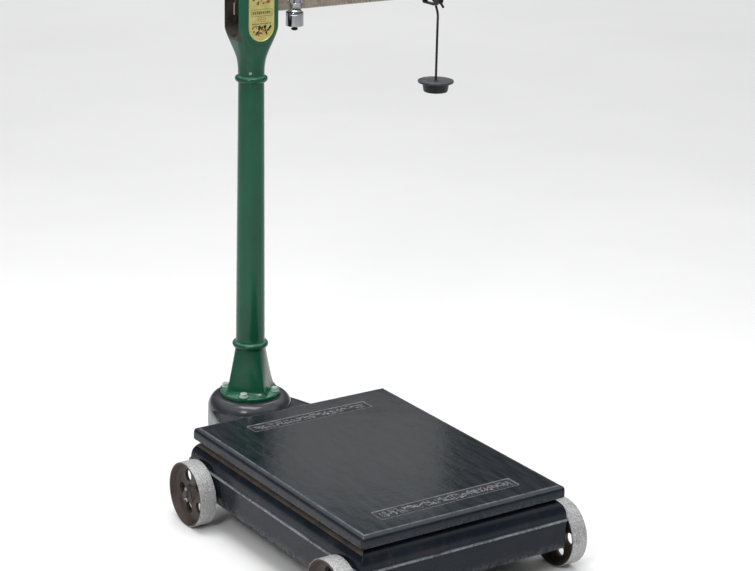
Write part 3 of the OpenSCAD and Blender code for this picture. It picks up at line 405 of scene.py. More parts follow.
def lathe(bm, profile, segs=64, at=(0, 0, 0), turn=None):
    """Turns points (radius, height) about Z; a radius of 0 closes an end."""
    m = Matrix.Translation(at) @ (turn or Matrix.Identity(4))
    rows = []
    for r, z in profile:
        if r <= 1e-9:
            rows.append([bm.verts.new(m @ Vector((0, 0, z)))])
        else:
            rows.append([bm.verts.new(m @ Vector((r * math.cos(2 * math.pi * i / segs),
                                                  r * math.sin(2 * math.pi * i / segs), z)))
                         for i in range(segs)])
    for a, b in zip(rows, rows[1:]):
        for i in range(segs):
            j = (i + 1) % segs
            if len(a) == 1:
                bm.faces.new((a[0], b[i], b[j]))
            elif len(b) == 1:
                bm.faces.new((a[i], a[j], b[0]))
            else:
                bm.faces.new((a[i], a[j], b[j], b[i]))


def ring_lathe(bm, profile, segs=64, at=(0, 0, 0), turn=None):
    """As lathe, with the profile closed on itself round a hole."""
    lathe(bm, list(profile) + [profile[0]], segs, at, turn)


def box(bm, lo, hi, turn=None):
    """Block between two corners, turned about its middle."""
    lo, hi = Vector(lo), Vector(hi)
    m = Matrix.Translation((lo + hi) / 2) @ (turn or Matrix.Identity(4)) @ Matrix.Diagonal((*(hi - lo), 1))
    bmesh.ops.create_cube(bm, size=1.0, matrix=m)


def tube(bm, path, r, segs=16):
    """Round rod along a path of points, with flat ends."""
    pts = [Vector(p) for p in path]
    rings = []
    up = Vector((0, 1, 0))
    for i, p in enumerate(pts):
        a = pts[max(i - 1, 0)]
        b = pts[min(i + 1, len(pts) - 1)]
        t = (b - a).normalized()
        side = up.cross(t)
        if side.length < 1e-4:
            side = Vector((1, 0, 0)).cross(t)
        side.normalize()
        other = t.cross(side).normalized()
        rings.append([p + r * (math.cos(2 * math.pi * k / segs) * side +
                               math.sin(2 * math.pi * k / segs) * other) for k in range(segs)])
    loft(bm, rings, cap0=True, cap1=True)


def arc(cx, cy, rx, ry, a0, a1, n=8):
    """Points of an elliptical arc between two angles in degrees."""
    return [(cx + rx * math.cos(math.radians(a0 + (a1 - a0) * i / n)),
             cy + ry * math.sin(math.radians(a0 + (a1 - a0) * i / n))) for i in range(n + 1)]


def rect_ring(hx, hy, r, z, n=6):
    """Rounded rectangle at a height, anticlockwise, with 4 (n + 1) points."""
    r = max(r, 0.0002)
    pts = []
    for sx, sy, a in ((1, 1, 0), (-1, 1, 90), (-1, -1, 180), (1, -1, 270)):
        pts += [(x, y, z) for x, y in arc(sx * (hx - r), sy * (hy - r), r, r, a, a + 90, n)]
    return pts


def carve(ob, cutters):
    """Applies boolean cuts to an object's mesh and removes the cutters."""
    for c in cutters:
        mod = ob.modifiers.new("cut", "BOOLEAN")
        mod.operation = "DIFFERENCE"
        mod.solver = "EXACT"
        mod.object = c
    dg = bpy.context.evaluated_depsgraph_get()
    me = bpy.data.meshes.new_from_object(ob.evaluated_get(dg))
    old = ob.data
    ob.modifiers.clear()
    ob.data = me
    bpy.data.meshes.remove(old)
    for c in cutters:
        bpy.data.objects.remove(c)
    me.set_sharp_from_angle(angle=math.radians(35))


def loose(bm):
    """A plain object used only as a cutter."""
    bmesh.ops.recalc_face_normals(bm, faces=bm.faces)
    me = bpy.data.meshes.new("cutter")
    bm.to_mesh(me)
    bm.free()
    ob = bpy.data.objects.new("cutter", me)
    bpy.context.scene.collection.objects.link(ob)
    return ob


def span(node):
    """A node's lowest corner, highest corner and middle, in metres."""
    lo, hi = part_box(node)
    return lo, hi, (lo + hi) / 2


AX = Matrix.Rotation(math.radians(90), 4, "Y")
AY = Matrix.Rotation(math.radians(-90), 4, "X")


def mm(points):
    """Points given in millimetres, as metres."""
    return [tuple(v * MM for v in p) for p in points]


def point(x, y, z):
    """A point given in millimetres, as metres."""
    return x * MM, y * MM, z * MM


def block(bm, lo, hi):
    """As box, with the corners in millimetres."""
    box(bm, point(*lo), point(*hi))


def curve(points, n=4):
    """Smooth run of tuples through the given ones."""
    out = []
    for i in range(len(points) - 1):
        p0 = points[max(i - 1, 0)]
        p1, p2 = points[i], points[i + 1]
        p3 = points[min(i + 2, len(points) - 1)]
        for k in range(n):
            t = k / n
            out.append(tuple(0.5 * (2 * b + (c - a) * t + (2 * a - 5 * b + 4 * c - d) * t * t +
                                    (3 * b - a - 3 * c + d) * t ** 3)
                             for a, b, c, d in zip(p0, p1, p2, p3)))
    return out + [points[-1]]


CY = span("column")[2].y
FLOOR = span("wheel_front_left")[0].z
TOP = span("platform")[1]
SKIRT = 30
# Height of the beam's knife edges above the platform, in millimetres
EDGE = 1008.0


# ------------------------------------------------------------------ platform

def platform():
    hx, hy = TOP.x / MM, TOP.y / MM
    bm = bmesh.new()
    foot = -SKIRT
    rim = [(21, -7), (17, -7), (7, foot + 6), (7, foot + 0.6), (6, foot), (1, foot), (0, foot + 1),
           (0, -15)]
    rim += [(0.3, -11.4), (1.2, -8.2), (2.8, -5.4), (5, -3.4), (8, -1.9), (10.6, -0.9), (11.6, -0.4),
            (12.4, -0.1), (13.4, 0)]
    rings = [mm(rect_ring(hx - inset, hy - inset, max(8 - inset, 2.0), z, 5)) for inset, z in rim]
    vs, faces = loft(bm, rings, cap0=True)
    for f in faces[:len(rings[0]) * 10]:
        f.material_index = 3
    loops = [[bm.edges.get((vs[-1][i], vs[-1][(i + 1) % len(vs[-1])])) for i in range(len(vs[-1]))]]
    for x, y, w, d in PANELS:
        steps = [(1.7, 4.4, 0), (0, 3, -0.15), (-0.7, 2.6, -1.5)]
        vs, faces = loft(bm, [[(px + x * MM, py + y * MM, pz) for px, py, pz in
                              mm(rect_ring(w / 2 + grow, d / 2 + grow, r, z, 3))]
                             for grow, r, z in steps], cap1=True)
        # The recess walls take the painted edge highlight.
        for f in faces[:-1]:
            f.material_index = 1
        faces[-1].material_index = 2
        n = len(vs[0])
        loops.append([bm.edges.get((vs[0][i], vs[0][(i + 1) % n])) for i in range(n)])
    bmesh.ops.triangle_fill(bm, use_beauty=True, edges=[e for l in loops for e in l])
    slab = publish("platform_slab", bm, "platform_body",
                   ("slate_gloss_iron", "panel_edge_highlight", "panel_floor", "slab_side"),
                   ["platform"], smooth=24)
    weigh(slab)
    bm = bmesh.new()
    for x, y, w, d in PANELS:
        ornament(bm, x, y, w - 22, d - 10)
    weigh(publish("platform_relief", bm, "platform_body", "relief", bevel=0.0005))
    bm = bmesh.new()
    leg = (span("platform_bearings")[1].x / MM) - 19
    load = (span("platform_bearings")[1].y / MM) - 14
    for gx in (-leg, 0, leg):
        block(bm, (gx - 3.5, -383, -24), (gx + 3.5, 383, -5))
    for gy in (-load, 0, load):
        block(bm, (-283, gy - 3.5, -23.6), (283, gy + 3.5, -5))
    for sx in (-1, 1):
        for sy in (-1, 1):
            rings = [mm(rect_ring(16 + k, 14 + k, 3, z, 3)) for z, k in
                     ((-70, 0), (-30, 0), (-14, 3), (-6, 8))]
            vs, _ = loft(bm, rings, cap0=True, cap1=True)
            for ring in vs:
                for v in ring:
                    v.co += Vector((sx * leg * MM, sy * load * MM, 0))
    weigh(publish("platform_ribs", bm, "platform_body", "inner_iron", bevel=0.0012))


PANELS = [(4, 301, 350, 42), (0, -306, 392, 44)]


def ornament(bm, cx, cy, w, d):
    """A strip of worn raised bars, placed at random and meaning nothing."""
    count = round(w / 4.4)
    for i in range(count):
        length = RNG.uniform(8, 27)
        a = math.radians(RNG.choice((0, 90, 90, 24, -24, 52, -52)))
        reach = abs(math.cos(a)) * length / 2 + 2, abs(math.sin(a)) * length / 2 + 2
        x = cx - w / 2 + (i + 0.5) * w / count
        x = min(max(x, cx - w / 2 + reach[0]), cx + w / 2 - reach[0])
        free = d / 2 - reach[1]
        y = cy + RNG.uniform(-free, free)
        lo = Vector((x - length / 2, y - 1.4, -1.9)) * MM
        hi = Vector((x + length / 2, y + 1.4, RNG.uniform(-0.5, -0.12))) * MM
        box(bm, lo, hi, turn=Matrix.Rotation(a, 4, "Z"))


def weigh(ob):
    m = ob.modifiers.new("weighted", "WEIGHTED_NORMAL")
    m.keep_sharp = True
    m.weight = 80
    return ob


# ------------------------------------------------------------------ base

def base():
    lo, hi, _ = span("base_frame")
    hx, hy = hi.x / MM - 5, -lo.y / MM - 5
    outer = [(-1.5, -160), (-0.4, -159.6), (0, -158.5), (0, -126), (0, -93.5), (0.8, -91.2),
             (3.6, -90), (4.7, -89.4), (5, -88), (5, -86.4), (4.6, -85), (3.4, -84.2), (0.6, -83.8)]
    shoulder = [(x, z) for x, z in arc(-36, -83.5, 36, 47.5, 2, 90, 16)]
    inner = [(-42, -36), (-49, -36.2), (-50, -37.4), (-50, -44), (-49, -45.4), (-39, -46.5),
             (-30, -58), (-16, -77), (-12, -84), (-12, -158.5), (-10.5, -160)]
    section = outer + shoulder + inner
    bm = bmesh.new()
    rings = [mm(rect_ring(hx + o, hy + o, max(6 + o, 2.0), z, 4)) for o, z in section]
    _, faces = loft(bm, rings, close_v=True)
    per = len(rings[0])
    start = len(outer) + len(shoulder)
    for i, f in enumerate(faces):
        row = i // per
        c = f.calc_center_median()
        low = start - (9 if abs(c.x) / hx > abs(c.y) / hy else 3)
        if row >= start + 4:
            f.material_index = 2
        elif row >= low:
            f.material_index = 1
        # Rows 8 to 11, the bead, take the painted highlight.
        elif 8 <= row < 12:
            f.material_index = 3
    shell = publish("base_shell", bm, "frame", ("black_gloss_iron", "grime", "inner_iron", "bead"),
                    ["base_frame"], smooth=40)
    cut = bmesh.new()
    box(cut, (-0.121, (hy - 25) * MM, -0.175), (0.121, (hy + 15) * MM, -0.071))
    carve(shell, [loose(cut)])
    weigh(shell)

    def outline(inset, z):
        r, half, root = 113 - inset, 181 - inset, hy - 8
        dy = root - CY / MM
        turn = math.degrees(math.atan2(dy, half)) + math.degrees(math.acos(r / math.hypot(half, dy)))
        pts = [(-half, root), (half, root)] + arc(0, CY / MM, r, r, turn, 180 - turn, 52)
        return mm([(x, y, z) for x, y in pts])

    bm = bmesh.new()
    steps = [(15, -69.5), (12, -72), (12, -158), (10.8, -160), (1.4, -160), (0, -158.4), (0, -120),
             (0, -80), (0.5, -72), (2.2, -66), (5.5, -61.2), (10, -58.4), (16, -57), (26, -56.6)]
    loft(bm, [outline(i, z) for i, z in steps], cap0=True, cap1=True)
    nose = publish("base_nose", bm, "frame", "nose_wall", smooth=40)
    cut, arch = bmesh.new(), bmesh.new()
    lathe(cut, mm([(0, -175), (40, -175), (40, -20), (0, -20)]), 48, (0, CY, 0))
    box(arch, (-0.115, (hy - 20) * MM, -0.175), (0.115, (hy + 20) * MM, -0.0735))
    carve(nose, [loose(cut), loose(arch)])
    weigh(nose)
    bm = bmesh.new()
    ring_lathe(bm, mm([(40, -62), (40, -33), (41, -32), (64, -31.9), (84, -32)] +
                      arc(86, -68, 26.6, 36, 88, 0, 16) + [(112.6, -76), (98, -76), (90, -62)]),
               112, (0, CY, 0))
    weigh(publish("base_pad", bm, "frame", "nose_iron"))

    bm = bmesh.new()
    leg = span("bearing_blocks")[1].x / MM - 19
    row = span("bearing_blocks")[1].y / MM - 20
    axle = span("axle_pins")[2]
    ay = span("wheel_front_left")[2].y
    for sx in (-1, 1):
        for sy in (-1, 1):
            at = (0, sy * abs(ay), axle.z)
            w = hx * MM
            lathe(bm, [(0, w - 0.022), (0.0185, w - 0.022), (0.019, w - 0.0215), (0.019, w + 0.003),
                       (0.0175, w + 0.005), (0, w + 0.005)], 40, at,
                  Matrix.Rotation(math.radians(90 * sx), 4, "Y"))
            x0, x1 = sorted((sx * (leg - 22) * MM, sx * (w - 0.010)))
            box(bm, (x0, sy * row * MM - 0.020, -0.125), (x1, sy * row * MM + 0.020, -0.116))
            x0, x1 = sorted((sx * (leg + 26) * MM, sx * (w - 0.010)))
            box(bm, (x0, sy * row * MM - 0.004, -0.158), (x1, sy * row * MM + 0.004, -0.118))
    weigh(publish("base_lugs", bm, "frame", "inner_iron", bevel=0.0010))


# ------------------------------------------------------------------ wheels

def wheels():
    for name in ("wheel_front_left", "wheel_front_right", "wheel_rear_left", "wheel_rear_right"):
        lo, hi, c = span(name)
        side = 1 if c.x > 0 else -1
        turn = Matrix.Rotation(math.radians(90 * side), 4, "Y")
        x0, t1 = sorted((abs(lo.x) / MM, abs(hi.x) / MM))
        h0, t0 = x0, x0 + 1.5
        mid = (t0 + t1) / 2
        rim = (hi.z - lo.z) / 2 / MM
        prof = [(9.05, h0), (19, h0), (20, h0 + 1), (20.5, mid - 10), (23, mid - 5.5), (28, mid - 4),
                (rim - 19, mid - 4), (rim - 14, mid - 5.5), (rim - 10.5, mid - 9), (rim - 6, t0 + 2),
                (rim - 5, t0 + 0.3), (rim - 4, t0), (rim - 1.4, t0), (rim - 0.4, t0 + 0.5)]
        wide = [(rim, t0 + 2 + (t1 - t0 - 4) * i / 7) for i in range(8)]
        prof2 = [(rim - 0.4, t1 - 0.5), (rim - 1.4, t1), (rim - 4, t1), (rim - 5, t1 - 0.3),
                 (rim - 6, t1 - 2), (rim - 10.5, mid + 9), (rim - 14, mid + 5.5), (rim - 19, mid + 4),
                 (28, mid + 4), (23, mid + 5.5),
                 (20.5, mid + 9), (20, h0 + 35), (19, h0 + 36), (9.05, h0 + 36)]
        bm = bmesh.new()
        ring_lathe(bm, mm(prof + wide + prof2), 128, (0, c.y, c.z), turn)
        hub = Vector((0, c.y, c.z))
        for v in bm.verts:
            d = v.co - hub
            r = math.hypot(d.y, d.z)
            if r > (rim - 3) * MM:
                k = 1 - RNG.uniform(0.0, 0.0045)
                v.co.y, v.co.z = hub.y + d.y * k, hub.z + d.z * k
        ob = publish(name.replace("wheel", "rolling"), bm, name + "_body", ("rusty_cast_iron", "tread"),
                     [name], smooth=40)
        cutters = []
        for i in range(5):
            a = math.radians(180 + 20 + i * 72)
            cut = bmesh.new()
            flat = Vector((math.cos(a), math.sin(a), 0)) * 0.046
            spot = (Matrix.Rotation(math.radians(180 if side < 0 else 0), 4, "Z") @ AX) @ flat
            lathe(cut, [(0, 0.28), (0.0165, 0.28), (0.0150, mid * MM - 0.0035),
                        (0.0150, mid * MM + 0.0035), (0.0165, 0.37), (0, 0.37)], 32,
                  (0, c.y + spot.y, c.z + spot.z), turn)
            cutters.append(loose(cut))
        carve(ob, cutters)
        for poly in ob.data.polygons:
            centre = poly.center - hub
            r = math.hypot(centre.y, centre.z)
            poly.material_index = 1 if r > (rim - 2.2) * MM else 0
        weigh(ob)


def axles():
    pins_hi = span("axle_pins")[1]
    wash_hi = span("axle_washers")[1]
    ay = abs(span("wheel_front_left")[2].y)
    z = span("wheel_front_left")[2].z
    bm, bw, bs = bmesh.new(), bmesh.new(), bmesh.new()
    out = pins_hi.x
    for sx in (-1, 1):
        turn = Matrix.Rotation(math.radians(90 * sx), 4, "Y")
        for sy in (-1, 1):
            at = (0, sy * ay, z)
            lathe(bm, [(0, out - 0.0775), (0.009, out - 0.0775), (0.009, out - 0.0015),
                       (0.0075, out), (0, out)],
                  48, at, turn)
            ring_lathe(bw, [(0.0091, wash_hi.x - 0.0025), (0.0165, wash_hi.x - 0.0025),
                            (0.017, wash_hi.x - 0.002), (0.017, wash_hi.x - 0.0005),
                            (0.0165, wash_hi.x), (0.0091, wash_hi.x)], 48, at, turn)
            px = sx * (out - 0.005)
            eye = [(px, sy * ay + 0.0033 * math.cos(t), z + 0.0145 + 0.0033 * math.sin(t))
                   for t in [math.radians(-80 + i * 20) for i in range(18)]]
            tube(bs, [(px, sy * ay + 0.0006, z - 0.0095)] + eye + [(px, sy * ay - 0.0006, z - 0.0095)],
                 0.0012, 10)
            for s in (-1, 1):
                tube(bs, [(px, sy * ay + s * 0.0006, z - 0.006), (px, sy * ay + s * 0.001, z - 0.0105),
                          (px, sy * ay + s * 0.004, z - 0.0135), (px, sy * ay + s * 0.0085, z - 0.0165)],
                     0.0013, 10)
    publish("axle_rods", bm, "frame", "rusty_cast_iron", ["axle_pins"])
    publish("axle_rings", bw, "frame", "rusty_cast_iron", ["axle_washers"])
    publish("cotter_pins", bs, "frame", "plain_steel", ["split_pins"])


# ------------------------------------------------------------------ column

def column():
    bm = bmesh.new()
    prof = [(27, -32), (77.8, -32), (79, -31), (79.1, -27), (79, -24.8)] + \
        arc(75.4, -24.6, 3.6, 3.6, 5, 76, 5) + [(72, -20.4), (60, -17.6), (48, -14.8), (40, -12),
                                               (38.5, 60),
                                               (38.5, 92), (38.9, 98), (39.6, 101.5)] + \
        arc(40.2, 110, 7.6, 8, -72, 72, 14) + [(39.6, 118.5), (38.7, 122), (38.4, 130)]
    for i in range(1, 14):
        k = i / 14
        prof.append((38.4 - 4.8 * k, 130 + 680 * k))
    prof += [(33.5, 812), (33.9, 817.4)] + arc(34.4, 826, 7.7, 8, -68, 68, 14) + \
        [(34.0, 834.6), (33.2, 835.6), (29.5, 836), (29.5, 884), (27, 885)]
    ring_lathe(bm, mm(prof), 96, (0, CY, 0))
    weigh(publish("column_tube", bm, "frame", "green_gloss_paint", ["column"],
                  smooth=50))
    bm = bmesh.new()
    rings = []
    for i in range(23):
        t = i / 22
        z = -19.5 + 118.5 * t
        flare = 5.5 * math.exp(-t * 20)
        apex = 77 + (45.0 - 77) * t ** 0.95
        cone = 75.5 + (46.0 - 75.5) * t ** 0.95
        p = 0.97 + 0.45 * t ** 1.5
        ring = []
        for k in range(96):
            a = 2 * math.pi * k / 96
            c, s = abs(math.cos(a)) + 1e-9, abs(math.sin(a)) + 1e-9
            d = apex * (c ** p + s ** p) ** (-1 / p)
            r = (d ** -14 + cone ** -14) ** (-1 / 14) + flare
            ring.append((r * math.cos(a), CY / MM + r * math.sin(a), z))
        rings.append(mm(ring))
    loft(bm, rings, cap0=True, cap1=True)
    weigh(publish("column_foot", bm, "frame", "green_gloss_paint", smooth=60))
    hexes, plates, bosses = bmesh.new(), bmesh.new(), bmesh.new()
    top = span("column_bolts")[1].z / MM
    for k in range(4):
        a = math.radians(45 + 90 * k)
        x, y = 67 * math.cos(a), CY / MM + 67 * math.sin(a)
        spin = Matrix.Rotation(math.radians(7 + 23 * k), 4, "Z")
        lathe(plates, mm([(0, -19), (11.2, -19), (11.5, -18.6), (11.5, -16.9), (11.1, -16.5), (0, -16.5)]),
              40, point(x, y, 0))
        lathe(hexes, mm([(0, -16.6), (9.6, -16.6), (10.3, -15.9), (10.3, top - 1.4), (9.2, top - 0.3),
                         (8.6, top), (0, top)]), 6, point(x, y, 0), spin)
        lathe(bosses, mm([(0, -23), (15.6, -23), (14.6, -19.2), (13.4, -18.4), (0, -18.2)]), 40,
              point(x, y, 0))
    weigh(publish("flange_bolts", hexes, "frame", "painted_bolt_steel",
                  ["column_bolts"], smooth=25, bevel=0.0004))
    weigh(publish("flange_washers", plates, "frame", "painted_bolt_steel",
                  ["column_washers"]))
    publish("flange_bosses", bosses, "frame", "green_gloss_paint")


# ------------------------------------------------------------------ head

def stadium(x, z, w, h, y, n=20):
    """Upright outline with round ends, centred on x and z, in millimetres."""
    r = w / 2
    pts = [(x + px, y, z + h / 2 - r + pz) for px, pz in arc(0, 0, r, r, 0, 180, n)]
    pts += [(x + px, y, z - h / 2 + r + pz) for px, pz in arc(0, 0, r, r, 180, 360, n)]
    return mm(pts)


def head():
    half = span("head")[1].x / MM
    top = span("head")[1].z / MM
    table = [(835, 34.0, 34.0, 33.9), (848, 34.0, 34.0, 33.8), (860, 34.5, 34.2, 33), (874, 36, 34.8, 32),
             (888, 39.2, 35.8, 30), (902, 43.6, 37.2, 27.5), (916, 48.8, 38.8, 25),
             (930, 53.8, 40.6, 22.5), (943, 57.6, 42.2, 20), (955, 60.2, 43.3, 18),
             (967, half, 44, 16.5), (985, half, 44, 16), (1020, half, 44, 16), (top - 30, half, 44, 16)]
    rows = curve(table, 3)
    for i in range(1, 11):
        a = math.radians(i * 9)
        rows.append((top - 30 + 30 * math.sin(a), half - 30 + 30 * math.cos(a),
                     44 - 3.2 * (1 - math.cos(a)), 16))
    bm = bmesh.new()
    loft(bm, [[(x, y + CY, z) for x, y, z in mm(rect_ring(hx, hy, min(r, hx - 0.2, hy - 0.1), z, 10))]
              for z, hx, hy, r in rows], cap0=True, cap1=True)
    ob = publish("head_casting", bm, "frame", ("green_gloss_paint", "slot_shade"),
                 ["head"], smooth=40)
    cut = bmesh.new()
    profile = [(-35, 1120)] + [(y, z) for y, z in arc(0, 964, 35, 27, 180, 360, 22)] + [(35, 1120)]
    loft(cut, [mm([(x, CY / MM + y, z) for y, z in profile]) for x in (-120, 120)], cap0=True, cap1=True)
    bore = bmesh.new()
    lathe(bore, mm([(0, 820), (28, 820), (28, 960), (0, 960)]), 48, (0, CY, 0))
    carve(ob, [loose(cut), loose(bore)])
    # Faces inside the slot take the painted-shade iron.
    for poly in ob.data.polygons:
        inside = abs(poly.center.y - CY) < 0.0352 and poly.center.z > 0.93
        poly.material_index = 1 if inside and abs(poly.center.x) < half * MM + 0.001 else 0
    add_bevel(ob, 0.0022, 3, 45)
    weigh(ob)

    lo, hi, c = span("name_plate")
    x, z = c.x / MM, c.z / MM
    w, h = (hi.x - lo.x) / MM, (hi.z - lo.z) / MM
    face = hi.y / MM
    bm = bmesh.new()
    loft(bm, [stadium(x, z, w + 15, h + 15, face + 9), stadium(x, z, w + 14, h + 14, face + 0.6),
              stadium(x, z, w + 9, h + 9, face - 0.1), stadium(x, z, w + 2, h + 2, face - 0.15)],
         cap0=True, cap1=True)
    weigh(publish("plate_pad", bm, "frame", "green_gloss_paint", smooth=60))
    bm = bmesh.new()
    y1 = lo.y / MM
    loft(bm, [stadium(x, z, w, h, face), stadium(x, z, w, h, y1 + 0.3), stadium(x, z, w - 0.8, h - 0.8, y1),
              stadium(x, z, w - 3.4, h - 3.4, y1), stadium(x, z, w - 4.6, h - 4.6, y1 + 0.7)],
         cap0=True, cap1=True)
    weigh(publish("plate_sheet", bm, "frame", "gold_plate", ["name_plate"], smooth=40))
    ink, red = bmesh.new(), bmesh.new()
    y0, yf = (y1 + 0.75) * MM, (y1 + 0.5) * MM

    def dab(target, dx, dz, bw, bh, turn=0.0):
        box(target, Vector(((x + dx - bw / 2) * MM, yf, (z + dz - bh / 2) * MM)),
            Vector(((x + dx + bw / 2) * MM, y0, (z + dz + bh / 2) * MM)),
            turn=Matrix.Rotation(math.radians(turn), 4, "Y"))

    for dz in (9, -8):
        dab(ink, 0, dz, w - 13, 0.8)
    for s in (-1, 1):
        dab(ink, s * (w / 2 - 6.6), 0.5, 0.8, 17)
    for i in range(9):
        dab(ink, -24 + i * 6, 0.5, RNG.uniform(2.6, 4.4), RNG.uniform(6, 8))
    for i in range(12):
        t = 2 * math.pi * i / 12
        dab(red, 11 * math.cos(t), -17 + 5.2 * math.sin(t), 3.2, 1.8, math.degrees(-t) + 90)
    for i in range(3):
        dab(red, -4 + 4 * i, -17, 2, 4.4)
    for i in range(15):
        dab(ink, -26 + i * 3.7, -27.5, RNG.uniform(1.4, 2.8), 2.8)
    for i in range(44):
        r, t = RNG.uniform(4, 27), RNG.uniform(0, math.pi)
        dab(RNG.choice((ink, ink, red)), r * math.cos(t), -36 - r * math.sin(t) * 0.95 + 3,
            RNG.uniform(4, 9), RNG.uniform(2.2, 4.2), RNG.uniform(0, 180))
    for i in range(22):
        r, t = RNG.uniform(3, 27), RNG.uniform(0, math.pi)
        dab(RNG.choice((ink, red, red)), r * math.cos(t), 24 + r * math.sin(t) * 1.1,
            RNG.uniform(4, 10), RNG.uniform(2.2, 4.4), RNG.uniform(0, 180))
    publish("plate_marks", ink, "frame", "ink")
    publish("plate_ornament", red, "frame", "red_ink")


# ------------------------------------------------------------------ beam

def beam():
    lo, hi, _ = span("beam")
    t = 3.0
    fx = span("beam_fulcrum_knife")[2].x / MM
    z0, z1 = EDGE - 15, EDGE + 15
    bm = bmesh.new()
    block(bm, (lo.x / MM, CY / MM - t, z0), (hi.x / MM, CY / MM + t, z1))
    for x in (-44, 20):
        block(bm, (x - 4, CY / MM - t, z1 - 2), (x + 4, CY / MM + t, EDGE + 44))
    lathe(bm, mm([(0, -5), (18, -5), (19, -4.2), (19, 4.2), (18, 5), (0, 5)]), 64,
          point(fx, CY / MM, EDGE), AY)
    weigh(publish("beam_bar", bm, "beam_body", "aged_brass", ["beam"], bevel=0.0006))
    poise = span("poise_body")[2].x / MM
    marks, rail = bmesh.new(), bmesh.new()
    for i in range(41):
        x = poise + 380 * i / 40
        tall = 8 if i % 5 else 14
        for s in (-1, 1):
            y = CY / MM + s * (t + 0.02)
            block(marks, (x - 0.35, y - 0.10, z0 + 2), (x + 0.35, y + 0.10, z0 + 2 + tall))
    for i in range(9):
        x = poise + 47.5 * i
        for k in range(2 if i > 1 else 1):
            y = CY / MM - t
            block(marks, (x - 4 + k * 5, y - 0.10, z0 + 19), (x - 1 + k * 5, y + 0.08, z0 + 24.5))
    publish("beam_graduation", marks, "beam_body", "ink")
    for s in (-1, 1):
        y = CY / MM + s * t
        y0, y1 = sorted((y - s * 0.1, y + s * 0.35))
        block(rail, (lo.x / MM + 30, y0, z0), (hi.x / MM - 2, y1, z0 + 1.6))
    weigh(publish("beam_edge", rail, "beam_body", "plain_steel", bevel=0.0002))

    lo, hi, c = span("balance_ball")
    r, half = (hi.z - lo.z) / 2 / MM, (hi.x - lo.x) / 2 / MM
    ridges = []
    for i in range(11):
        z = -half + 2.4 + (2 * half - 4.8) * i / 10
        ridges.append((r - (0.5 if i % 2 else 0.0), z))
    bm = bmesh.new()
    ring_lathe(bm, mm([(2.6, -half), (r - 2, -half), (r - 0.4, -half + 1.4)] + ridges +
                      [(r - 0.4, half - 1.4), (r - 2, half), (2.6, half)]), 64,
               (c.x, c.y, c.z), AX)
    weigh(publish("balance_weight", bm, "balance_ball_body", "chrome_plate",
                  ["balance_ball"]))


def poise():
    lo, hi, c = span("poise_body")
    x, r = c.x, (hi.x - lo.x) / 2 / MM
    z0, z1 = lo.z / MM, hi.z / MM
    bm = bmesh.new()
    lathe(bm, mm([(0, z0), (r - 2.4, z0), (r - 0.8, z0 + 0.5), (r, z0 + 1.9), (r, z1 - 7),
                  (r - 0.5, z1 - 6.4), (r - 0.5, z1 - 5.6), (r, z1 - 5), (r, z1 - 1.8),
                  (r - 0.6, z1 - 0.6), (r - 2, z1), (0, z1)]), 96, (x, CY, 0))
    weigh(publish("poise_weight", bm, "poise_body_group", "chrome_plate", ["poise_body"]))
    lo, hi, _ = span("poise_saddle")
    a, b = lo.x / MM, hi.x / MM
    s0, s1 = lo.z / MM, hi.z / MM
    cy = CY / MM
    mid = (a + b) / 2
    bm = bmesh.new()
    for s in (-1, 1):
        y0, y1 = sorted((cy + s * 3.5, cy + s * 9.3))
        block(bm, (mid - 14, y0, s0 + 4), (mid + 14, y1, s1 - 20))
        block(bm, (a, y0, s1 - 23.2), (b, y1, s1))
        y0, y1 = sorted((cy + s * 8.8, cy + s * 13.5))
        block(bm, (mid - 7, y0, s1 - 26), (mid + 7, y1, s1 - 4))
        for e in (a + 5.5, b - 5.5):
            y0, y1 = sorted((cy + s * 9.0, cy + s * 11))
            block(bm, (e - 3, y0, s1 - 26), (e + 3, y1, s1 - 6))
    block(bm, (a, cy - 4, s1 - 11.2), (b, cy + 4, s1))
    weigh(publish("poise_carriage", bm, "poise_body_group", "chrome_plate",
                  ["poise_saddle"], bevel=0.0007))
    bm = bmesh.new()
    lathe(bm, mm([(0, s0), (17.4, s0), (18.2, s0 + 1), (18.2, s0 + 3), (17, s0 + 4.2), (15.6, s0 + 6),
                  (15.3, s0 + 12), (15.6, s1 - 26), (16.4, s1 - 24.6), (16, s1 - 24), (0, s1 - 24)]),
          72, (x, CY, 0))
    collar = publish("poise_collar", bm, "poise_body_group", "chrome_plate")
    cut = bmesh.new()
    block(cut, (a - 5, cy - 3.4, s0 + 5), (b + 5, cy + 3.4, s1))
    carve(collar, [loose(cut)])
    weigh(collar)
    lo, hi, _ = span("poise_plug")
    z0, z1 = lo.z / MM, hi.z / MM
    bm = bmesh.new()
    r = (hi.x - lo.x) / 2 / MM
    lathe(bm, mm([(0, z0), (4, z0 + 0.2), (r - 2, z0 + 1.4), (r - 0.4, z0 + 3.2), (r, z0 + 4.6),
                  (r - 0.8, z0 + 6.2), (6.4, z0 + 7.6), (4.2, z0 + 8.6), (3.8, z0 + 10),
                  (5, z0 + 12.5), (5, z0 + 20), (0, z0 + 20)]),
          48, (x, CY, 0))
    publish("poise_knob", bm, "poise_body_group", "black_steel", ["poise_plug"])


# ------------------------------------------------------------------ guard and hanger

def guard():
    lo, hi, c = span("guard_loop")
    bm = bmesh.new()
    cy, cz = c.y / MM, c.z / MM
    hy, hz = (hi.y - lo.y) / 2 / MM, (hi.z - lo.z) / 2 / MM
    x0, x1 = lo.x / MM, hi.x / MM

    def ring(x, inset, r):
        return mm([(x, cy + a, cz + b) for a, b, _ in rect_ring(hy - inset, hz - inset, r, 0, 5)])

    rings = [ring(x0 + 0.8, 0, 5), ring(x1 - 0.8, 0, 5), ring(x1, 0.8, 4.4), ring(x1, 3.2, 2.4),
             ring(x1 - 0.8, 4, 2), ring(x0 + 0.8, 4, 2), ring(x0, 3.2, 2.4), ring(x0, 0.8, 4.4)]
    loft(bm, rings, close_v=True)
    weigh(publish("guard_ring", bm, "frame", "black_steel", ["guard_loop"]))


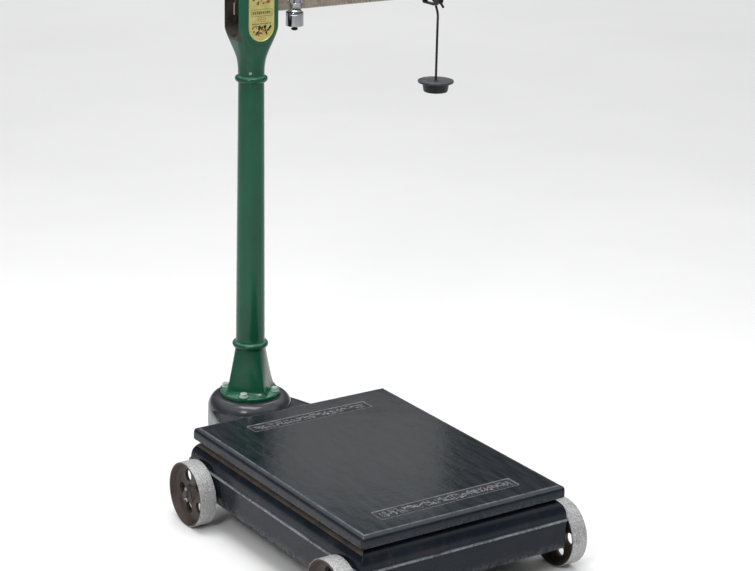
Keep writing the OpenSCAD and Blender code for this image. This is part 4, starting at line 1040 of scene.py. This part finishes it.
def hanger():
    hi = span("end_stirrup")[1]
    px, pz = span("beam_power_knife")[2].x / MM, EDGE
    cy = CY / MM
    bm = bmesh.new()
    for s in (-1, 1):
        y0, y1 = sorted((cy + s * 11, cy + s * 15))
        outline = []
        for a, b in arc(0, pz - 30, 8, 8, 180, 360, 14):
            outline.append((px + a, b + 2))
        for a, b in arc(0, hi.z / MM - 6, 8, 6, 0, 180, 12):
            outline.append((px + a, b))
        hole = [(px - 5.6, pz - 10.8), (px + 5.6, pz - 10.8), (px + 5.6, pz - 3.2), (px, pz + 0.3),
                (px - 5.6, pz - 3.2)]
        both = []
        for y in (y0, y1):
            o = [bm.verts.new(p) for p in mm([(a, y, b) for a, b in outline])]
            h = [bm.verts.new(p) for p in mm([(a, y, b) for a, b in hole])]
            eo = [bm.edges.new((o[i], o[(i + 1) % len(o)])) for i in range(len(o))]
            eh = [bm.edges.new((h[i], h[(i + 1) % len(h)])) for i in range(len(h))]
            bmesh.ops.triangle_fill(bm, use_beauty=True, edges=eo + eh)
            both.append((o, h))
        for k in (0, 1):
            p, q = both[0][k], both[1][k]
            for i in range(len(p)):
                j = (i + 1) % len(p)
                bm.faces.new((p[i], p[j], q[j], q[i]))
    lathe(bm, mm([(0, -13), (3.6, -13), (4, -12.4), (3.4, -4), (3.2, 0), (3.4, 4), (4, 12.4), (3.6, 13),
                  (0, 13)]), 32, point(px, cy, pz - 30), AY)
    weigh(publish("stirrup_frame", bm, "stirrup_body", "black_steel", ["end_stirrup"],
                  smooth=30, bevel=0.0005))
    lo = span("hanger_rod")[0]
    rod = span("hanger_dish")[2]
    bz = pz - 30
    path = [(px + 19.2, cy, bz - 18.8), (px + 15, cy, bz - 12.8)]
    path += [(px + 8.4 * math.cos(math.radians(a)), cy, bz + 8.4 * math.sin(math.radians(a)))
             for a in range(-28, 196, 14)]
    path += [(px - 7.4, cy, bz - 6.5), (px - 4.6, cy, bz - 14.5), (px - 1.4, cy, bz - 24),
             (px + 0.9, cy, bz - 33), (rod.x / MM, cy, bz - 42), (rod.x / MM, cy, bz - 60),
             (rod.x / MM, cy, (lo.z + 0.0012) / MM)]
    bm = bmesh.new()
    tube(bm, mm(curve(path, 3)), 0.0032, 20)
    lathe(bm, mm([(0, 0), (5.4, 0), (5.4, 1.6), (4.2, 3.4), (3.1, 4), (0, 4)]), 32,
          (rod.x, CY, span("hanger_dish")[1].z - 0.0032))
    weigh(publish("hanger_hook", bm, "hanger_body", "black_steel", ["hanger_rod"]))
    z = span("hanger_dish")[1].z / MM - 3
    bm = bmesh.new()
    prof = [(3.3, z + 0.2), (21, z), (22.5, z + 0.3), (23.8, z + 1.3), (25, z + 1.5), (39, z + 1.5),
            (40.6, z + 1.9), (42, z + 2.8), (43, z + 3), (46.4, z + 2.9), (48.2, z + 2.2), (49, z + 0.8),
            (49, z - 2.2), (48.2, z - 3.8), (46.6, z - 4.5), (38, z - 5), (36.8, z - 6.4), (36, z - 10),
            (33.6, z - 25), (32.4, z - 28), (30.6, z - 29), (28.5, z - 29), (28, z - 27.6), (30.6, z - 7),
            (29, z - 6), (10, z - 6), (9, z - 7), (9, z - 28), (8, z - 29), (3.3, z - 29)]
    ring_lathe(bm, mm(prof), 96, (rod.x, CY, 0))
    weigh(publish("weight_dish", bm, "hanger_body", "dish", ["hanger_dish"], smooth=50))


# ------------------------------------------------------------------ plain parts

def carried_over():
    """CAD pieces that are shown as they are, with soft edges and worn surfaces."""
    finishes = {
        "plain_steel": ["bearing_blocks", "bearing_screws", "head_set_screw", "fulcrum_bearings",
                        "guard_screws", "platform_bearings", "bearing_shoe_pins", "long_fulcrum_knives",
                        "long_load_knives", "long_link_knife", "long_power_knife",
                        "short_fulcrum_knives", "short_load_knives", "short_power_knife", "lever_link",
                        "pull_rod", "lower_shackle", "upper_shackle", "pull_rod_nuts",
                        "beam_fulcrum_knife", "beam_load_knife", "beam_power_knife", "balance_screw",
                        "beam_stop_pins", "ball_lock_screw", "poise_screws", "hanger_nut"],
        "green_gloss_paint": ["guard_arm"],
        "lever_iron": ["long_lever", "short_lever"],
    }
    widths = {"long_lever": 0.0025, "short_lever": 0.0025, "guard_arm": 0.0010}
    for finish, names in finishes.items():
        for n in names:
            ob = NODES[n]
            ob.data.materials.clear()
            ob.data.materials.append(M[finish])
            w = ob.modifiers.new("weld", "WELD")
            w.merge_threshold = 0.00002
            add_bevel(ob, widths.get(n, 0.0004), 2, 35)


platform()
base()
wheels()
axles()
column()
head()
beam()
poise()
guard()
hanger()
carried_over()


# ------------------------------------------------------------------ stage, light, camera

def stage():
    g = Graph("floor_paint")
    c = g.mix(g.remap(g.noise(0.8, 4), 0.3, 0.7), (0.86, 0.86, 0.86), (0.90, 0.90, 0.90))
    floor_mat = g.finish(c, 0.6, 0.0, 0.0, 0.1, [(g.noise(60, 4), 0.02, 0.0005)])
    bm = bmesh.new()
    bmesh.ops.create_grid(bm, x_segments=2, y_segments=2, size=40)
    me = bpy.data.meshes.new("floor")
    bm.to_mesh(me)
    bm.free()
    floor = bpy.data.objects.new("floor", me)
    floor.location.z = FLOOR
    me.materials.append(floor_mat)
    bpy.context.scene.collection.objects.link(floor)

    world = bpy.data.worlds.new("studio")
    bpy.context.scene.world = world
    world.use_nodes = True
    nt = world.node_tree
    bg = nt.nodes["Background"]
    tc = nt.nodes.new("ShaderNodeTexCoord")
    sep = nt.nodes.new("ShaderNodeSeparateXYZ")
    ramp = nt.nodes.new("ShaderNodeValToRGB")
    nt.links.new(tc.outputs["Generated"], sep.inputs[0])
    nt.links.new(sep.outputs["Z"], ramp.inputs["Fac"])
    nt.links.new(ramp.outputs["Color"], bg.inputs["Color"])
    el = ramp.color_ramp.elements
    el[0].position, el[0].color = 0.0, (0.10, 0.105, 0.11, 1)
    el[1].position, el[1].color = 1.0, (1.0, 1.0, 1.0, 1)
    for pos, v, cool in ((0.20, 0.06, 0.06), (0.42, 0.10, 0.06), (0.60, 0.85, 0.0), (0.75, 1.25, 0.0)):
        e = el.new(pos)
        e.color = (v * (1 - cool), v, v * (1 + cool), 1)
    bg.inputs["Strength"].default_value = 0.84

    def area(name, at, aim, size, power, tall=None):
        data = bpy.data.lights.new(name, "AREA")
        data.size = size
        if tall:
            data.shape = "RECTANGLE"
            data.size_y = tall
        data.energy = power
        ob = bpy.data.objects.new(name, data)
        ob.location = at
        ob.rotation_euler = (Vector(aim) - Vector(at)).to_track_quat("-Z", "Y").to_euler()
        bpy.context.scene.collection.objects.link(ob)

    area("key", (-3.7, -2.6, 3.5), (0, 0.2, 0.3), 1.3, 95)
    area("top", (-0.3, 0.1, 3.6), (0, 0.3, 0), 2.4, 80, 1.6)
    area("fill", (3.4, -2.6, 2.6), (0, 0.2, 0.3), 2.0, 10)
    area("sheen", (3.1, 4.7, 2.3), (0, 0, 0), 0.9, 0.8, 0.7)
    area("backdrop", (4.5, 8.5, 8.5), (4.5, 9.0, 0), 6.0, 210, 5.0)


def camera():
    yaw, pitch, roll = (math.radians(v) for v in (-34.116, 17.739, 1.324))
    back = Vector((math.sin(yaw) * math.cos(pitch), -math.cos(yaw) * math.cos(pitch), math.sin(pitch)))
    right = (-back).cross(Vector((0, 0, 1))).normalized()
    up = right.cross(-back)
    r2 = math.cos(roll) * right + math.sin(roll) * up
    u2 = -math.sin(roll) * right + math.cos(roll) * up
    data = bpy.data.cameras.new("camera")
    data.lens = 99.85
    data.sensor_width = 36
    data.clip_end = 100
    ob = bpy.data.objects.new("camera", data)
    m = Matrix((r2, u2, back)).transposed().to_4x4()
    m.translation = Vector((-2.6684, -3.9371, 1.9579))
    ob.matrix_world = m
    bpy.context.scene.collection.objects.link(ob)
    bpy.context.scene.camera = ob
    bpy.context.scene.view_settings.view_transform = "Standard"


stage()
camera()
